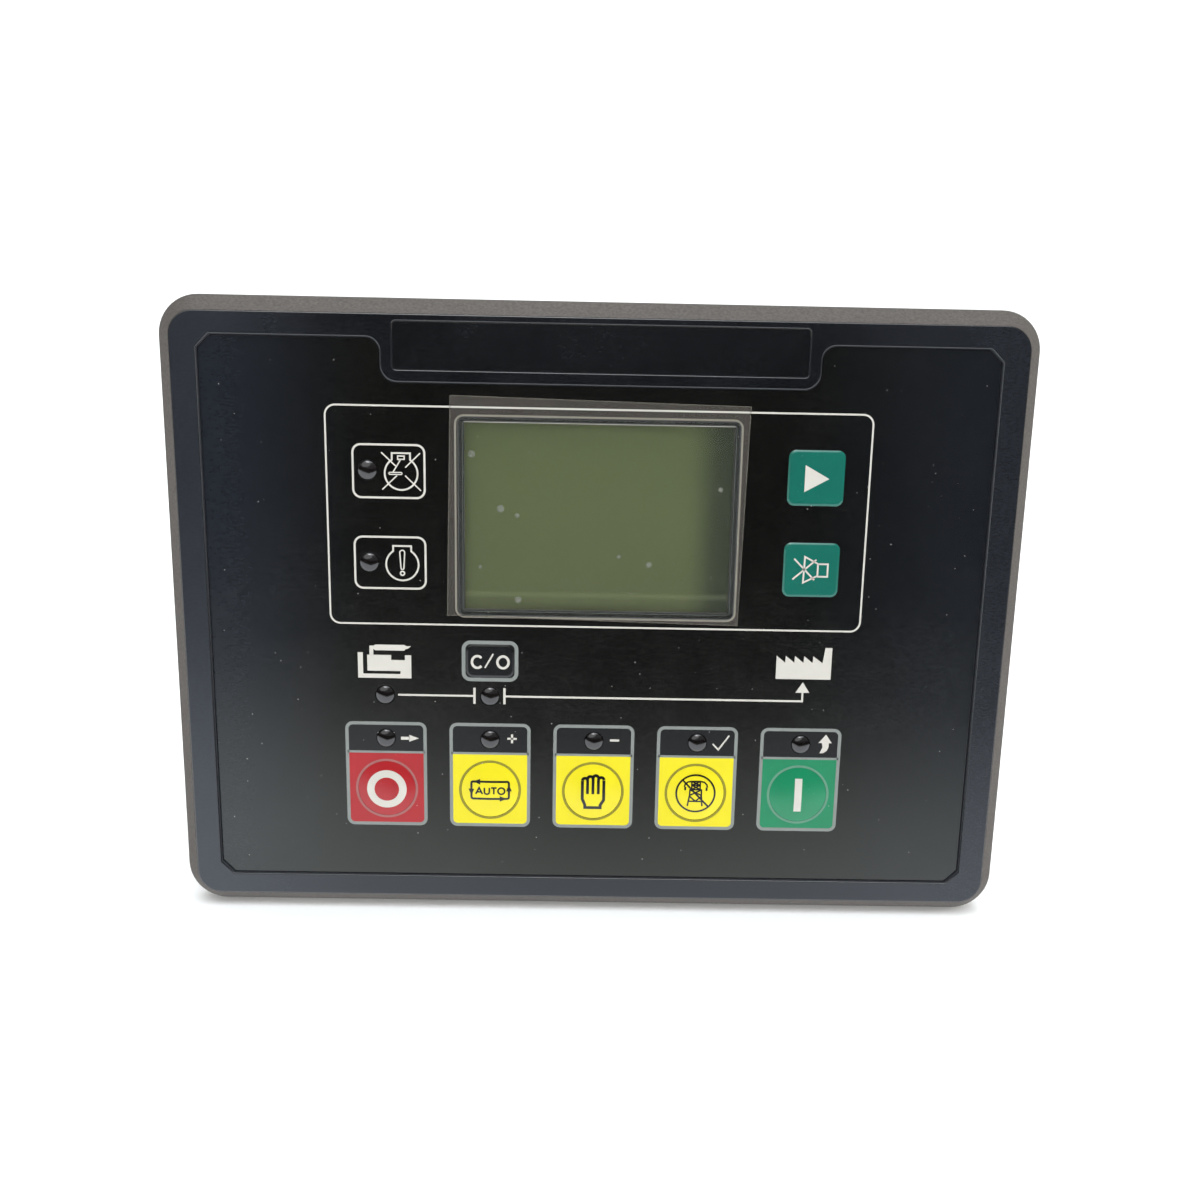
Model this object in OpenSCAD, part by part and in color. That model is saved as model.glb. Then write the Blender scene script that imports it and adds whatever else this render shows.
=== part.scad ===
// Panel-mounted generating set controller.
// X runs to the right, Z up and Y towards the back. The panel's front surface is the plane y = 0:
// the bezel lies in front of it and the housing passes through the cut-out behind it.

/* [Bezel] */
// Width of the bezel
bezel_w = 216; // [210:1:230]
// Height of the bezel
bezel_h = 158; // [152:1:170]
// Corner radius of the bezel
bezel_r = 10; // [8:0.5:12]
// Thickness of the bezel moulding, from the panel to its raised border
bezel_t = 8.25; // [7.5:0.25:11]
// Width of the sloping edge, seen from the front
bevel_w = 3.8; // [2:0.2:5]
// Depth of the sloping edge
bevel_d = 4.7; // [3:0.1:6]
// Rounding where the sloping edge meets the side
edge_r = 1.2; // [0.4:0.1:3]
// Width of the lip that seals on the panel
lip_w = 3; // [2:0.5:4]
// Thickness of the front wall behind the keypad
front_wall = 2.4; // [1.8:0.2:3]
// Thickness of the ribs behind the flange
rib_t = 1.4; // [1:0.2:2.4]
// Number of ribs along each long side of the flange
ribs_long = 9; // [3:1:15]
// Number of ribs along each short side of the flange
ribs_short = 6; // [3:1:9]
// Distance between the ribs and the panel
rib_drop = 1.2; // [0.4:0.2:3]

/* [Recess and films] */
// Width of the border at the sides of the recess
border_side = 10.5; // [10:0.1:13]
// Width of the border above and below the recess
border_top = 9.5; // [9:0.1:12]
// Cut of the recess corners
recess_cut = 3.2; // [1:0.2:6]
// Depth of the recess in the moulding
recess_d = 0.85; // [0.5:0.05:1.6]
// Width of the tab that hangs into the recess
tab_w = 107; // [105:1:120]
// Drop of the tab from the top of the recess
tab_drop = 10.6; // [9.5:0.1:11.5]
// Radius of the tab's lower corners
tab_r = 4; // [1:0.5:5]
// Radius where the tab leaves the top of the recess
tab_fillet = 3.5; // [1:0.5:5]
// Distance from the sides of the tab to the name strip's pocket
pocket_side = 3; // [2:0.1:20]
// Height of the name strip's pocket
pocket_h = 11.6; // [8:0.1:12.4]
// Distance from the lower edge of the tab to the pocket
pocket_rise = 3; // [2:0.1:3.4]
// Corner radius of the pocket
pocket_r = 1; // [0.5:0.1:2]
// Depth of the pocket in the moulding
pocket_d = 0.25; // [0.1:0.05:0.6]
// Thickness of the name strip
strip_t = 0.2; // [0.1:0.05:0.3]
// Thickness of the surround film
film_t = 0.25; // [0.15:0.05:0.4]
// Thickness of the keypad overlay
overlay_t = 0.3; // [0.2:0.05:0.5]
// Gap round each film in its place
film_gap = 0.15; // [0.05:0.05:0.3]

/* [Keys] */
// Spacing of the control keys and of the lamps above them
key_pitch = 26.9; // [25:0.1:28]
// Drop from the display's centre to the control keys' centres
key_drop = 71.5; // [70:0.5:74]
// Diameter of an embossed round key
dome_d = 15.4; // [14:0.1:16]
// Rise of an embossed round key
dome_rise = 0.6; // [0.3:0.1:1]
// Drop from the display's centre to the changeover key's centre
changeover_drop = 36.7; // [36:0.1:37.5]
// Width and height of the embossed changeover key
changeover_size = [12.2, 8.6];
// Width and height of the embossed scroll and mute keys
side_key_size = [14, 13.8];
// Height between the scroll and mute keys
side_pitch = 23.1; // [20:0.1:26]
// Corner radius of the embossed square keys
pad_r = 1.8; // [1:0.1:3]
// Rise of the embossed square keys
pad_rise = 0.45; // [0.2:0.05:0.8]
// Width of the slope round the embossed square keys
pad_slope = 0.7; // [0.3:0.1:1.2]
// Border from an embossed key to its plunger
plunger_inset = 1.3; // [1:0.1:2]
// Gap round a plunger in the front wall, and in front of it
plunger_gap = 0.15; // [0.1:0.05:0.3]
// Width of a plunger's flange behind the wall
flange_w = 1.2; // [0.8:0.1:1.6]
// Thickness of a plunger's flange
flange_t = 1.2; // [0.8:0.1:2]
// Diameter of a plunger's stem
stem_d = 4; // [3:0.1:5]
// Travel of a key
key_travel = 0.4; // [0.2:0.05:0.6]

/* [Indicators] */
// Diameter of an indicator lens
lens_d = 4.85; // [4:0.05:5.2]
// Rise of a lens above the keypad
lens_rise = 1.05; // [0.5:0.05:1.6]
// Width of a lens's shoulder behind the wall
shoulder_w = 0.8; // [0.5:0.1:1.2]
// Thickness of a lens's shoulder
shoulder_t = 1; // [0.6:0.1:2]
// Rise from the control keys' centres to the lamps over them
key_lamp_rise = 13.8; // [13:0.1:14.5]
// Drop from the display's centre to the lamps on the line diagram
line_lamp_drop = 46; // [45.5:0.1:48]
// Distance of the fault lamps from the centre line
fault_lamp_x = 57.1; // [56:0.1:60]

/* [Display] */
// Width and height of the display opening
display_size = [67, 47.2];
// Drop from the tab's lower edge to the display's centre
display_drop = 32.9; // [32:0.1:33.5]
// Border of the window round the opening
window_border = 1.3; // [0.8:0.1:1.6]
// Corner radius of the window
window_r = 1.6; // [0.5:0.1:3]
// Thickness of the window
window_t = 1.2; // [0.8:0.1:1.6]
// Overlap of the peel-off protector at the window's sides, and above and below it
protector_border = [2.05, 2.65];
// Distance of the protector's centre from the window's, as it was stuck on
protector_shift = [-0.4, 1.9];
// Turn of the protector, as it was stuck on
protector_turn = -1.1; // [-4:0.1:4]
// Thickness of the protector
protector_t = 0.1; // [0.05:0.05:0.2]
// Border of the display module round the opening
module_border = 5.5; // [4:0.1:6]
// Depth of the display module's frame
module_d = 5.6; // [4.5:0.1:7]
// Thickness of the frame's sheet
sheet_t = 0.6; // [0.4:0.1:1]
// Thickness of the display glass
glass_t = 2; // [1.4:0.1:2.6]
// Border of the display board outside the frame, where it is screwed down
board_ear = 7; // [6.5:0.1:8]
// Diameter of the display's bosses
lcd_boss_d = 5; // [4.5:0.1:5.5]
// Diameter of the display's screws
lcd_screw_d = 2.5; // [2:0.1:3]

/* [Boards] */
// Distance from the front wall to the main board
board_gap = 12; // [10.5:0.1:14]
// Thickness of the boards
board_t = 1.6; // [1:0.1:2]
// Gap between the main board and the walls round it
board_clear = 0.45; // [0.2:0.05:1]
// Distance of the fixing holes from the board's edges
boss_inset = 7; // [5:0.5:9]
// Diameter of the bosses that hold the main board
boss_d = 8; // [6.5:0.5:9]
// Side of a key switch
switch_w = 6; // [5:0.1:7]
// Height of a key switch's body
switch_h = 3.6; // [3:0.1:4.5]
// Diameter of a switch's button
button_d = 3.4; // [2.5:0.1:4]
// Height of a switch's button above its body
button_rise = 1.4; // [1:0.1:2]
// Side and height of an indicator LED
led_size = [3, 1.9];
// Side and height of the processor
processor_size = [20, 1.6];
// Place of the processor on the main board
processor_at = [0, 8];
// Width, height and depth of an output relay
relay_size = [19, 15, 15];
// Place of the pair of output relays on the main board
relay_at = [-47, -16];
// Distance between the two relays' centres
relay_pitch = 22; // [20:0.5:30]
// Diameter and depth of a capacitor
capacitor_size = [10, 16];
// Place of the row of capacitors on the main board
capacitor_at = [32, -18];
// Distance between the capacitors' centres
capacitor_pitch = 14; // [11:0.5:16]
// Diameter and depth of the inductor
inductor_size = [14, 9];
// Place of the inductor on the main board
inductor_at = [66, -18];

/* [Housing] */
// Width of the housing behind the panel
body_w = 182; // [178:1:184]
// Height of the housing behind the panel
body_h = 135; // [132:1:137]
// Depth of the housing behind the panel
body_d = 34.25; // [32:0.25:45]
// Corner radius of the housing
body_r = 4; // [3:0.5:6]
// Thickness of the housing's walls
side_wall = 2.4; // [1.8:0.1:3]
// Height of the raised middle of the rear cover
tub_h = 84; // [70:1:86]
// Rounding of the rear cover's back edges
cover_edge_r = 1.4; // [0.4:0.1:2]
// Height of the terminal ledges above the main board
ledge_rise = 7.4; // [6:0.1:9]
// Thickness of the joint's tongue
tongue_t = 1; // [0.8:0.1:1.4]
// Length of the joint's tongue
tongue_l = 1.5; // [1:0.1:1.9]
// Gap in the joint
tongue_gap = 0.15; // [0.1:0.05:0.3]
// Width and length of a fixing clip's slot
clip_slot = [2.6, 7];
// Spacing of the two slots for one clip
clip_slot_pitch = 12; // [8:1:16]
// Spacing of the two clips on a side
clip_pitch = 48; // [32:1:52]
// Diameter of the cover screws
screw_d = 3; // [2.5:0.1:3.5]
// Diameter and thickness of the screw heads
screw_head = [5.6, 2.2];
// Length of the cover screws
screw_l = 12; // [8:0.5:14]

/* [Terminals] */
// Width of a terminal header, across its row
header_w = 10.6; // [10:0.1:12]
// Height of a terminal header above the board
header_h = 12; // [10:0.1:16]
// Thickness of a header's walls
header_wall = 1.2; // [0.8:0.1:1.4]
// Thickness of a header's base
header_base = 1.6; // [1:0.1:2.5]
// Spacing of the ways in a header for signals and supply
way_pitch = 5.08; // [3.5:0.01:5.08]
// Spacing of the ways in a header for mains voltages
wide_pitch = 7.62; // [5.08:0.01:7.62]
// Gap round a header in its cut-out in the rear cover
header_fit = 0.3; // [0.1:0.05:0.5]
// Side of a terminal pin
pin_w = 1; // [0.8:0.1:1.2]
// Distance of the pins from the middle of the header
pin_offset = 2; // [1.5:0.1:2.4]
// Distance from the tip of the pins to the header's rim
pin_sink = 2.5; // [1:0.1:4]
// Width and height of the data socket
usb_size = [12, 10.8];
// Width and height of the data socket's mouth
usb_mouth = [8.5, 7.8];
// Cut of the two upper corners of the data socket's mouth
usb_cut = 1.6; // [0.5:0.1:2]
// Depth of the data socket's mouth
usb_depth = 9; // [7:0.1:9.5]
// Width and height of the data socket's tongue
usb_tongue = [5.6, 3.2];

/* [Hidden] */
$fn = 48;
fit = 0.1;
cut = 1;

// Planes from front to back
land_y = -bezel_t;
film_y = land_y - film_t;
floor_y = land_y + recess_d;
face_y = floor_y - overlay_t;
inner_y = floor_y + front_wall;
module_y = inner_y + fit;
lcd_board_y = module_y + module_d;
board_y = inner_y + board_gap;
board_back = board_y + board_t;
split_y = board_back + fit;
ledge_y = board_back + ledge_rise;
flange_back = inner_y + plunger_gap + flange_t;
button_y = board_y - switch_h - button_rise;
screw_seat_y = ledge_y - side_wall - fit;
pilot_end_y = screw_seat_y - screw_l - cut;

// Layout of the face, hung from the tab
recess_w = bezel_w - 2 * border_side;
recess_h = bezel_h - 2 * border_top;
tab_low = recess_h / 2 - tab_drop;
pocket_w = tab_w - 2 * pocket_side;
pocket_z = tab_low + pocket_rise + pocket_h / 2;
pocket_y = land_y + pocket_d;
display_z = tab_low - display_drop;
window_w = display_size[0] + 2 * window_border;
window_h = display_size[1] + 2 * window_border;
window_y = face_y + window_t;
key_z = display_z - key_drop;
key_lamp_z = key_z + key_lamp_rise;
line_lamp_z = display_z - line_lamp_drop;
changeover_z = display_z - changeover_drop;

// Board and boss positions
board_w = body_w - 2 * (side_wall + tongue_gap + tongue_t + board_clear);
board_h = body_h - 2 * (side_wall + tongue_gap + tongue_t + board_clear);
boss_x = board_w / 2 - boss_inset;
boss_z = board_h / 2 - boss_inset;
module_w = display_size[0] + 2 * module_border;
module_h = display_size[1] + 2 * module_border;
lcd_boss_x = module_w / 2 + board_ear / 2;
lcd_boss_z = module_h / 2 - board_ear;
header_z = (tub_h + body_h) / 4;

// Keys: name, place, and size of the embossed shape, round where the height is 0
KEYS = [
    ["stop", -2 * key_pitch, key_z, dome_d, 0],
    ["automatic", -key_pitch, key_z, dome_d, 0],
    ["manual", 0, key_z, dome_d, 0],
    ["test", key_pitch, key_z, dome_d, 0],
    ["start", 2 * key_pitch, key_z, dome_d, 0],
    ["changeover", -key_pitch, changeover_z, changeover_size[0], changeover_size[1]],
    ["scroll", 2 * key_pitch, display_z + side_pitch / 2, side_key_size[0], side_key_size[1]],
    ["mute", 2 * key_pitch, display_z - side_pitch / 2, side_key_size[0], side_key_size[1]],
];

// Indicator lamps: name and place
LAMPS = [
    ["stop", -2 * key_pitch, key_lamp_z],
    ["automatic", -key_pitch, key_lamp_z],
    ["manual", 0, key_lamp_z],
    ["test", key_pitch, key_lamp_z],
    ["start", 2 * key_pitch, key_lamp_z],
    ["generator", -2 * key_pitch, line_lamp_z],
    ["breaker", -key_pitch, line_lamp_z],
    ["shutdown", -fault_lamp_x, display_z + side_pitch / 2],
    ["warning", -fault_lamp_x, display_z - side_pitch / 2],
];

// Terminal headers: name, number of ways and spacing, in rows from left to right
UPPER_ROW = [["generator", 4, wide_pitch], ["mains", 4, wide_pitch], ["current", 8, way_pitch]];
LOWER_ROW = [["supply", 13, way_pitch], ["input", 11, way_pitch]];

function header_len(h) = h[1] * h[2] + 2 * header_wall;
UPPER_LENGTHS = [for (h = UPPER_ROW) header_len(h), usb_size[0]];
LOWER_LENGTHS = [for (h = LOWER_ROW) header_len(h)];
function total(list, n) = n == 0 ? 0 : list[n - 1] + total(list, n - 1);

// The headers of a row share out the free length between the bosses
row_free = 2 * boss_x - boss_d;
function row_gap(lengths) = (row_free - total(lengths, len(lengths))) / (len(lengths) + 1);
function row_x(lengths, i) = total(lengths, i) + lengths[i] / 2 + (i + 1) * row_gap(lengths) - row_free / 2;

// Headers with their places: name, ways, spacing, x, z, and the side of the row that the pins are on
HEADERS = concat(
    [for (i = [0 : len(UPPER_ROW) - 1]) concat(UPPER_ROW[i], [row_x(UPPER_LENGTHS, i), header_z, 1])],
    [for (i = [0 : len(LOWER_ROW) - 1]) concat(LOWER_ROW[i], [row_x(LOWER_LENGTHS, i), -header_z, -1])]
);
usb_x = row_x(UPPER_LENGTHS, len(UPPER_ROW));

// Children, drawn in X and Z, made solid from one plane to another
module slab(y0, y1) translate([0, y1, 0]) rotate([90, 0, 0]) linear_extrude(y1 - y0) children();

// Round bar along Y
module rod(d, y0, y1) translate([0, y1, 0]) rotate([90, 0, 0]) cylinder(d = d, h = y1 - y0);

// Place on the face
module at(x, z) translate([x, 0, z]) children();

// Mirrored places on the face
module four(x, z) for (sx = [-1, 1], sz = [-1, 1]) at(sx * x, sz * z) children();

// Rectangle with round corners
module rounded(w, h, r) {
    square([w - 2 * r, h], center = true);
    square([w, h - 2 * r], center = true);
    for (sx = [-1, 1], sz = [-1, 1]) translate([sx * (w / 2 - r), sz * (h / 2 - r)]) circle(r);
}

// Wall between two rounded rectangles
module rounded_ring(w, h, r, t) difference() {
    rounded(w, h, r);
    rounded(w - 2 * t, h - 2 * t, max(r - t, fit));
}

// Section swept round a rounded rectangle: its x runs outwards from the corner's centre, its y to the front
module sweep_round(w, h, r) for (k = [0 : 3]) {
    a = (k % 2 == 0 ? w : h) / 2 - r;
    b = (k % 2 == 0 ? h : w) / 2 - r;
    rotate([0, -90 * k, 0]) translate([a, 0, b]) {
        rotate([180, 0, 0]) linear_extrude(2 * b) children();
        rotate([90, 0, 0]) rotate_extrude(angle = 90) children();
    }
}

// Shallow round dome on the plane y, rising to the front
module dome(d, rise, y, steps = 8) translate([0, y, 0]) rotate([90, 0, 0]) rotate_extrude()
    polygon(concat([[0, 0]], [for (i = [0 : steps]) let (t = 1 - i / steps) [d / 2 * t, rise * (1 - t * t)]]));

// Raised pad with sloping sides on the plane y
module pad(w, h, rise, y) {
    translate([0, y, 0]) sweep_round(w, h, pad_r)
        polygon([[0, 0], [pad_r, 0], [pad_r - pad_slope, rise], [0, rise]]);
    slab(y - rise, y) square([w - 2 * pad_r, h - 2 * pad_r], center = true);
}

// Embossed shape of a key, on the plane y
module embossing(k, y) at(k[1], k[2])
    if (k[4] == 0) dome(k[3], dome_rise, y);
    else pad(k[3], k[4], pad_rise, y);

// Outline of a key's plunger, grown by g
module plunger_outline(k, g) translate([k[1], k[2]])
    if (k[4] == 0) circle(d = k[3] - 2 * plunger_inset + 2 * g);
    else square([k[3] - 2 * plunger_inset + 2 * g, k[4] - 2 * plunger_inset + 2 * g], center = true);

// Tab that hangs into the recess, grown by g
module tab(g) {
    top = recess_h / 2 - g;
    low = tab_low - g;
    side = tab_w / 2 + g;
    translate([-side, low + tab_r]) square([2 * side, top - low - tab_r + cut]);
    translate([-side + tab_r, low]) square([2 * (side - tab_r), tab_r + fit]);
    for (s = [-1, 1]) {
        translate([s * (side - tab_r), low + tab_r]) circle(tab_r);
        difference() {
            translate([s * (side + tab_fillet / 2), top - tab_fillet / 2 + cut / 2])
                square([tab_fillet, tab_fillet + cut], center = true);
            translate([s * (side + tab_fillet), top - tab_fillet]) circle(tab_fillet);
        }
    }
}

// Outline of the recess, made smaller by g
module recess(g) difference() {
    w = recess_w / 2 - g;
    h = recess_h / 2 - g;
    c = recess_cut;
    polygon([
        [c - w, -h], [w - c, -h], [w, c - h], [w, h - c],
        [w - c, h], [c - w, h], [-w, h - c], [-w, c - h],
    ]);
    tab(g);
}

// Section of the bezel's rim: border, sloping edge, side and sealing lip
module rim_section(steps = 4) {
    slope = atan2(bevel_w, bevel_d);
    round_h = bezel_t - bevel_d - edge_r * tan(slope / 2);
    polygon(concat(
        [[0, -inner_y], [0, bezel_t], [bezel_r - bevel_w, bezel_t]],
        [for (i = [steps : -1 : 0]) let (a = slope * i / steps)
            [bezel_r - edge_r * (1 - cos(a)), round_h + edge_r * sin(a)]],
        [[bezel_r, 0], [bezel_r - lip_w, 0], [bezel_r - lip_w, -inner_y]]
    ));
}

// Ribs that tie the sealing lip to the housing
module flange_ribs() {
    long_l = (bezel_h - body_h) / 2 - lip_w + fit;
    short_l = (bezel_w - body_w) / 2 - lip_w + fit;
    long_step = (body_w - 2 * body_r) / ribs_long;
    short_step = (body_h - 2 * body_r) / ribs_short;
    for (i = [0 : ribs_long - 1], s = [-1, 1])
        at((i + 0.5 - ribs_long / 2) * long_step, s * (body_h + long_l) / 2)
            slab(inner_y - fit, -rib_drop) square([rib_t, long_l + fit], center = true);
    for (i = [0 : ribs_short - 1], s = [-1, 1])
        at(s * (body_w + short_l) / 2, (i + 0.5 - ribs_short / 2) * short_step)
            slab(inner_y - fit, -rib_drop) square([short_l + fit, rib_t], center = true);
}

// Outline of the display window, grown by g
module window_outline(g) rounded(window_w + 2 * g, window_h + 2 * g, window_r + g);

// Bezel, front wall and front half of the housing
module front_case() color("#77756e") difference() {
    union() {
        sweep_round(bezel_w, bezel_h, bezel_r) rim_section();
        slab(land_y, inner_y) square([bezel_w - 2 * bezel_r, bezel_h - 2 * bezel_r], center = true);
        slab(inner_y - fit, split_y) rounded_ring(body_w, body_h, body_r, side_wall);
        flange_ribs();
        four(boss_x, boss_z) rod(boss_d, inner_y - fit, board_y);
        at(0, display_z) four(lcd_boss_x, lcd_boss_z) rod(lcd_boss_d, inner_y - fit, lcd_board_y);
    }
    slab(land_y - cut, floor_y) recess(0);
    slab(land_y - cut, pocket_y) translate([0, pocket_z]) rounded(pocket_w, pocket_h, pocket_r);
    at(0, display_z) slab(land_y, window_y) window_outline(fit);
    at(0, display_z) slab(land_y, inner_y + cut) square(display_size, center = true);
    for (k = KEYS) slab(land_y, inner_y + cut) plunger_outline(k, plunger_gap);
    for (l = LAMPS) at(l[1], l[2]) rod(lens_d + fit, land_y, inner_y + cut);
    four(boss_x, boss_z) rod(screw_d + fit, pilot_end_y, board_y + cut);
    at(0, display_z) four(lcd_boss_x, lcd_boss_z) rod(lcd_screw_d + fit, inner_y, lcd_board_y + cut);
}

// Black film on the raised border
module surround_film() color("#2f3238") slab(film_y, land_y) difference() {
    edge = 2 * (bevel_w + film_gap);
    rounded(bezel_w - edge, bezel_h - edge, bezel_r - bevel_w - film_gap);
    recess(-film_gap);
    translate([0, pocket_z]) rounded(pocket_w, pocket_h, pocket_r);
}

// Blank name strip in its pocket
module name_strip() color("#26282d") slab(pocket_y - strip_t, pocket_y) translate([0, pocket_z])
    rounded(pocket_w - 2 * film_gap, pocket_h - 2 * film_gap, pocket_r - film_gap);

// Keypad overlay with its embossed keys
module keypad_overlay() color("#303338") difference() {
    union() {
        slab(face_y, floor_y) recess(film_gap);
        for (k = KEYS) embossing(k, face_y + fit);
    }
    for (k = KEYS) embossing(k, floor_y + fit);
    for (l = LAMPS) at(l[1], l[2]) rod(lens_d + 2 * fit, face_y - cut, floor_y + cut);
    at(0, display_z) slab(face_y - cut, floor_y + cut) window_outline(fit);
}

// Clear window, flush with the keypad
module display_window() color("#c8d2d4", 0.3) at(0, display_z)
    slab(face_y, window_y) window_outline(0);

// Peel-off film, stuck on a little askew
module screen_protector() color("#e6ebec", 0.3) at(0, display_z) slab(face_y - protector_t, face_y)
    translate(protector_shift) rotate(protector_turn)
        square([window_w, window_h] + 2 * protector_border, center = true);

// Folded metal frame of the display
module lcd_frame() color("#9a9c9c") at(0, display_z) difference() {
    slab(module_y, lcd_board_y) square([module_w, module_h], center = true);
    slab(module_y + sheet_t, lcd_board_y + cut)
        square([module_w - 2 * sheet_t, module_h - 2 * sheet_t], center = true);
    slab(module_y - cut, lcd_board_y) square(display_size + [module_border, module_border], center = true);
}

// Display glass and backlight, which fill the frame
module lcd_layer(y0, y1) at(0, display_z) slab(y0, y1)
    square([module_w - 2 * sheet_t - 2 * fit, module_h - 2 * sheet_t - 2 * fit], center = true);
module lcd_glass() color("#5f6a45") lcd_layer(module_y + sheet_t, module_y + sheet_t + glass_t);
module lcd_backlight() color("#e8ead8") lcd_layer(module_y + sheet_t + glass_t, lcd_board_y);

// Display's own board
module lcd_board() color("#1d5a3a") at(0, display_z) difference() {
    slab(lcd_board_y, lcd_board_y + board_t) square([module_w + 2 * board_ear, module_h], center = true);
    four(lcd_boss_x, lcd_boss_z) rod(lcd_screw_d + fit, lcd_board_y - cut, lcd_board_y + board_t + cut);
}

// Screw along Y with its head at the back
module screw(d, head_d, head_t, seat_y, length) {
    rod(d, seat_y - length, seat_y);
    rod(head_d, seat_y, seat_y + head_t);
}
module lcd_screws() color("silver") at(0, display_z) four(lcd_boss_x, lcd_boss_z)
    screw(lcd_screw_d, 2 * lcd_screw_d - fit, lcd_screw_d / 2, lcd_board_y + board_t, module_d + board_t - fit);

// Connector between the two boards
module lcd_connector() color("#1c1c1c") at(0, display_z - module_h / 2 + board_ear / 2)
    slab(lcd_board_y + board_t, board_y) square([module_w - 4 * board_ear, board_ear / 2], center = true);

// Main board, clamped between the two halves of the housing
module main_board() color("#1d5a3a") difference() {
    slab(board_y, board_back) square([board_w, board_h], center = true);
    four(boss_x, boss_z) rod(screw_d + 2 * fit, board_y - cut, board_back + cut);
}

// Lamps on the main board behind their lenses
module status_leds() color("ivory") for (l = LAMPS) at(l[1], l[2])
    slab(board_y - led_size[1], board_y) square(led_size[0], center = true);

// Lens and light guide of one lamp
module lens(l) color("#20242a", 0.6) at(l[1], l[2]) {
    dome(lens_d, lens_rise, face_y);
    rod(lens_d, face_y, board_y - led_size[1] - fit);
    rod(lens_d + 2 * shoulder_w, inner_y, inner_y + shoulder_t);
}

// Key switches on the main board, each with a well for its button
module switch_bodies() color("#222222") for (k = KEYS) at(k[1], k[2]) difference() {
    slab(board_y - switch_h, board_y) square(switch_w, center = true);
    rod(button_d + 4 * fit, board_y - switch_h - cut, board_y - switch_h + 2 * key_travel + cut);
}

// Moving button of one switch
module switch_button(k) color("#b9b4a6") at(k[1], k[2])
    rod(button_d, button_y, board_y - switch_h + key_travel);

// Plunger between the embossed key and its switch
module plunger(k) color("#d8d6cc") {
    if (k[4] == 0) at(k[1], k[2])
        dome(k[3] - 2 * plunger_inset, dome_rise / 2, floor_y);
    slab(floor_y, inner_y + plunger_gap + fit) plunger_outline(k, 0);
    slab(inner_y + plunger_gap, flange_back) plunger_outline(k, flange_w);
    at(k[1], k[2]) rod(stem_d, flange_back - fit, button_y);
}

// Parts on the back of the main board
module processor() color("#1b1b1d") slab(board_back, board_back + processor_size[1]) translate(processor_at)
    square(processor_size[0], center = true);
module output_relays() color("#2b4f7d") for (s = [-1, 1]) at(relay_at[0] + s * relay_pitch / 2, relay_at[1])
    slab(board_back, board_back + relay_size[2]) square([relay_size[0], relay_size[1]], center = true);
module capacitors() color("#23262e") for (s = [-1, 0, 1])
    at(capacitor_at[0] + s * capacitor_pitch, capacitor_at[1])
        rod(capacitor_size[0], board_back, board_back + capacitor_size[1]);
module inductor() color("#5a4a38") at(inductor_at[0], inductor_at[1])
    rod(inductor_size[0], board_back, board_back + inductor_size[1]);

// Outline of one header, grown by g
module header_outline(h, g) translate([h[3], h[4]])
    square([header_len(h) + 2 * g, header_w + 2 * g], center = true);

// Pins of one header, drawn on the board and grown by g
module pin_row(h, g) translate([h[3] - (h[1] - 1) / 2 * h[2], h[4] + h[5] * pin_offset])
    for (i = [0 : h[1] - 1]) translate([i * h[2], 0]) square(pin_w + 2 * g, center = true);

// Shroud of one terminal header
module header(h) color("#2f8f4e") difference() {
    slab(board_back, board_back + header_h) header_outline(h, 0);
    slab(board_back + header_base, board_back + header_h + cut) header_outline(h, -header_wall);
    slab(board_back - cut, board_back + header_base + cut) pin_row(h, fit / 2);
}
module header_pins(h) color("silver") slab(board_back, board_back + header_h - pin_sink) pin_row(h, 0);

// Mouth of the data socket, with its two upper corners cut
module usb_mouth_outline() {
    w = usb_mouth[0] / 2;
    h = usb_mouth[1] / 2;
    polygon([[-w, -h], [w, -h], [w, h - usb_cut], [w - usb_cut, h], [usb_cut - w, h], [-w, h - usb_cut]]);
}

// Data socket: metal shell and the tongue inside it
module usb_shell() color("silver") at(usb_x, header_z) difference() {
    slab(board_back, board_back + header_h) square(usb_size, center = true);
    slab(board_back + header_h - usb_depth, board_back + header_h + cut) usb_mouth_outline();
}
module usb_insert() color("white") at(usb_x, header_z)
    slab(board_back + header_h - usb_depth, board_back + header_h - fit) square(usb_tongue, center = true);

// Screws that hold the housing together
module cover_screws() color("silver") four(boss_x, boss_z)
    screw(screw_d, screw_head[0], screw_head[1], screw_seat_y, screw_l);

// Ring of thickness t, at a gap g inside the housing's walls
module tongue_ring(g, t) {
    inset = 2 * (side_wall + g);
    rounded_ring(body_w - inset, body_h - inset, max(body_r - side_wall - g, fit), t);
}

// Block with round corners and a round back edge, from y0 to y1
module crowned(w, h, r, y0, y1, steps = 4) {
    e = cover_edge_r;
    sweep_round(w, h, r) polygon(concat(
        [[0, -y1], [0, -y0], [r, -y0]],
        [for (i = [0 : steps]) let (a = 90 * i / steps) [r - e + e * cos(a), e - y1 - e * sin(a)]]
    ));
    slab(y0, y1) square([w - 2 * r, h - 2 * r], center = true);
}

// Cut-outs for the fixing clips in the sides of the rear cover
module clip_slots() for (sx = [-1, 1], sz = [-1, 1], s = [-1, 1])
    at(sx * (body_w - side_wall) / 2, (sz * clip_pitch + s * clip_slot_pitch) / 2)
        slab((ledge_y + body_d - clip_slot[1]) / 2, (ledge_y + body_d + clip_slot[1]) / 2)
            square([side_wall + 2 * cut, clip_slot[0]], center = true);

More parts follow.
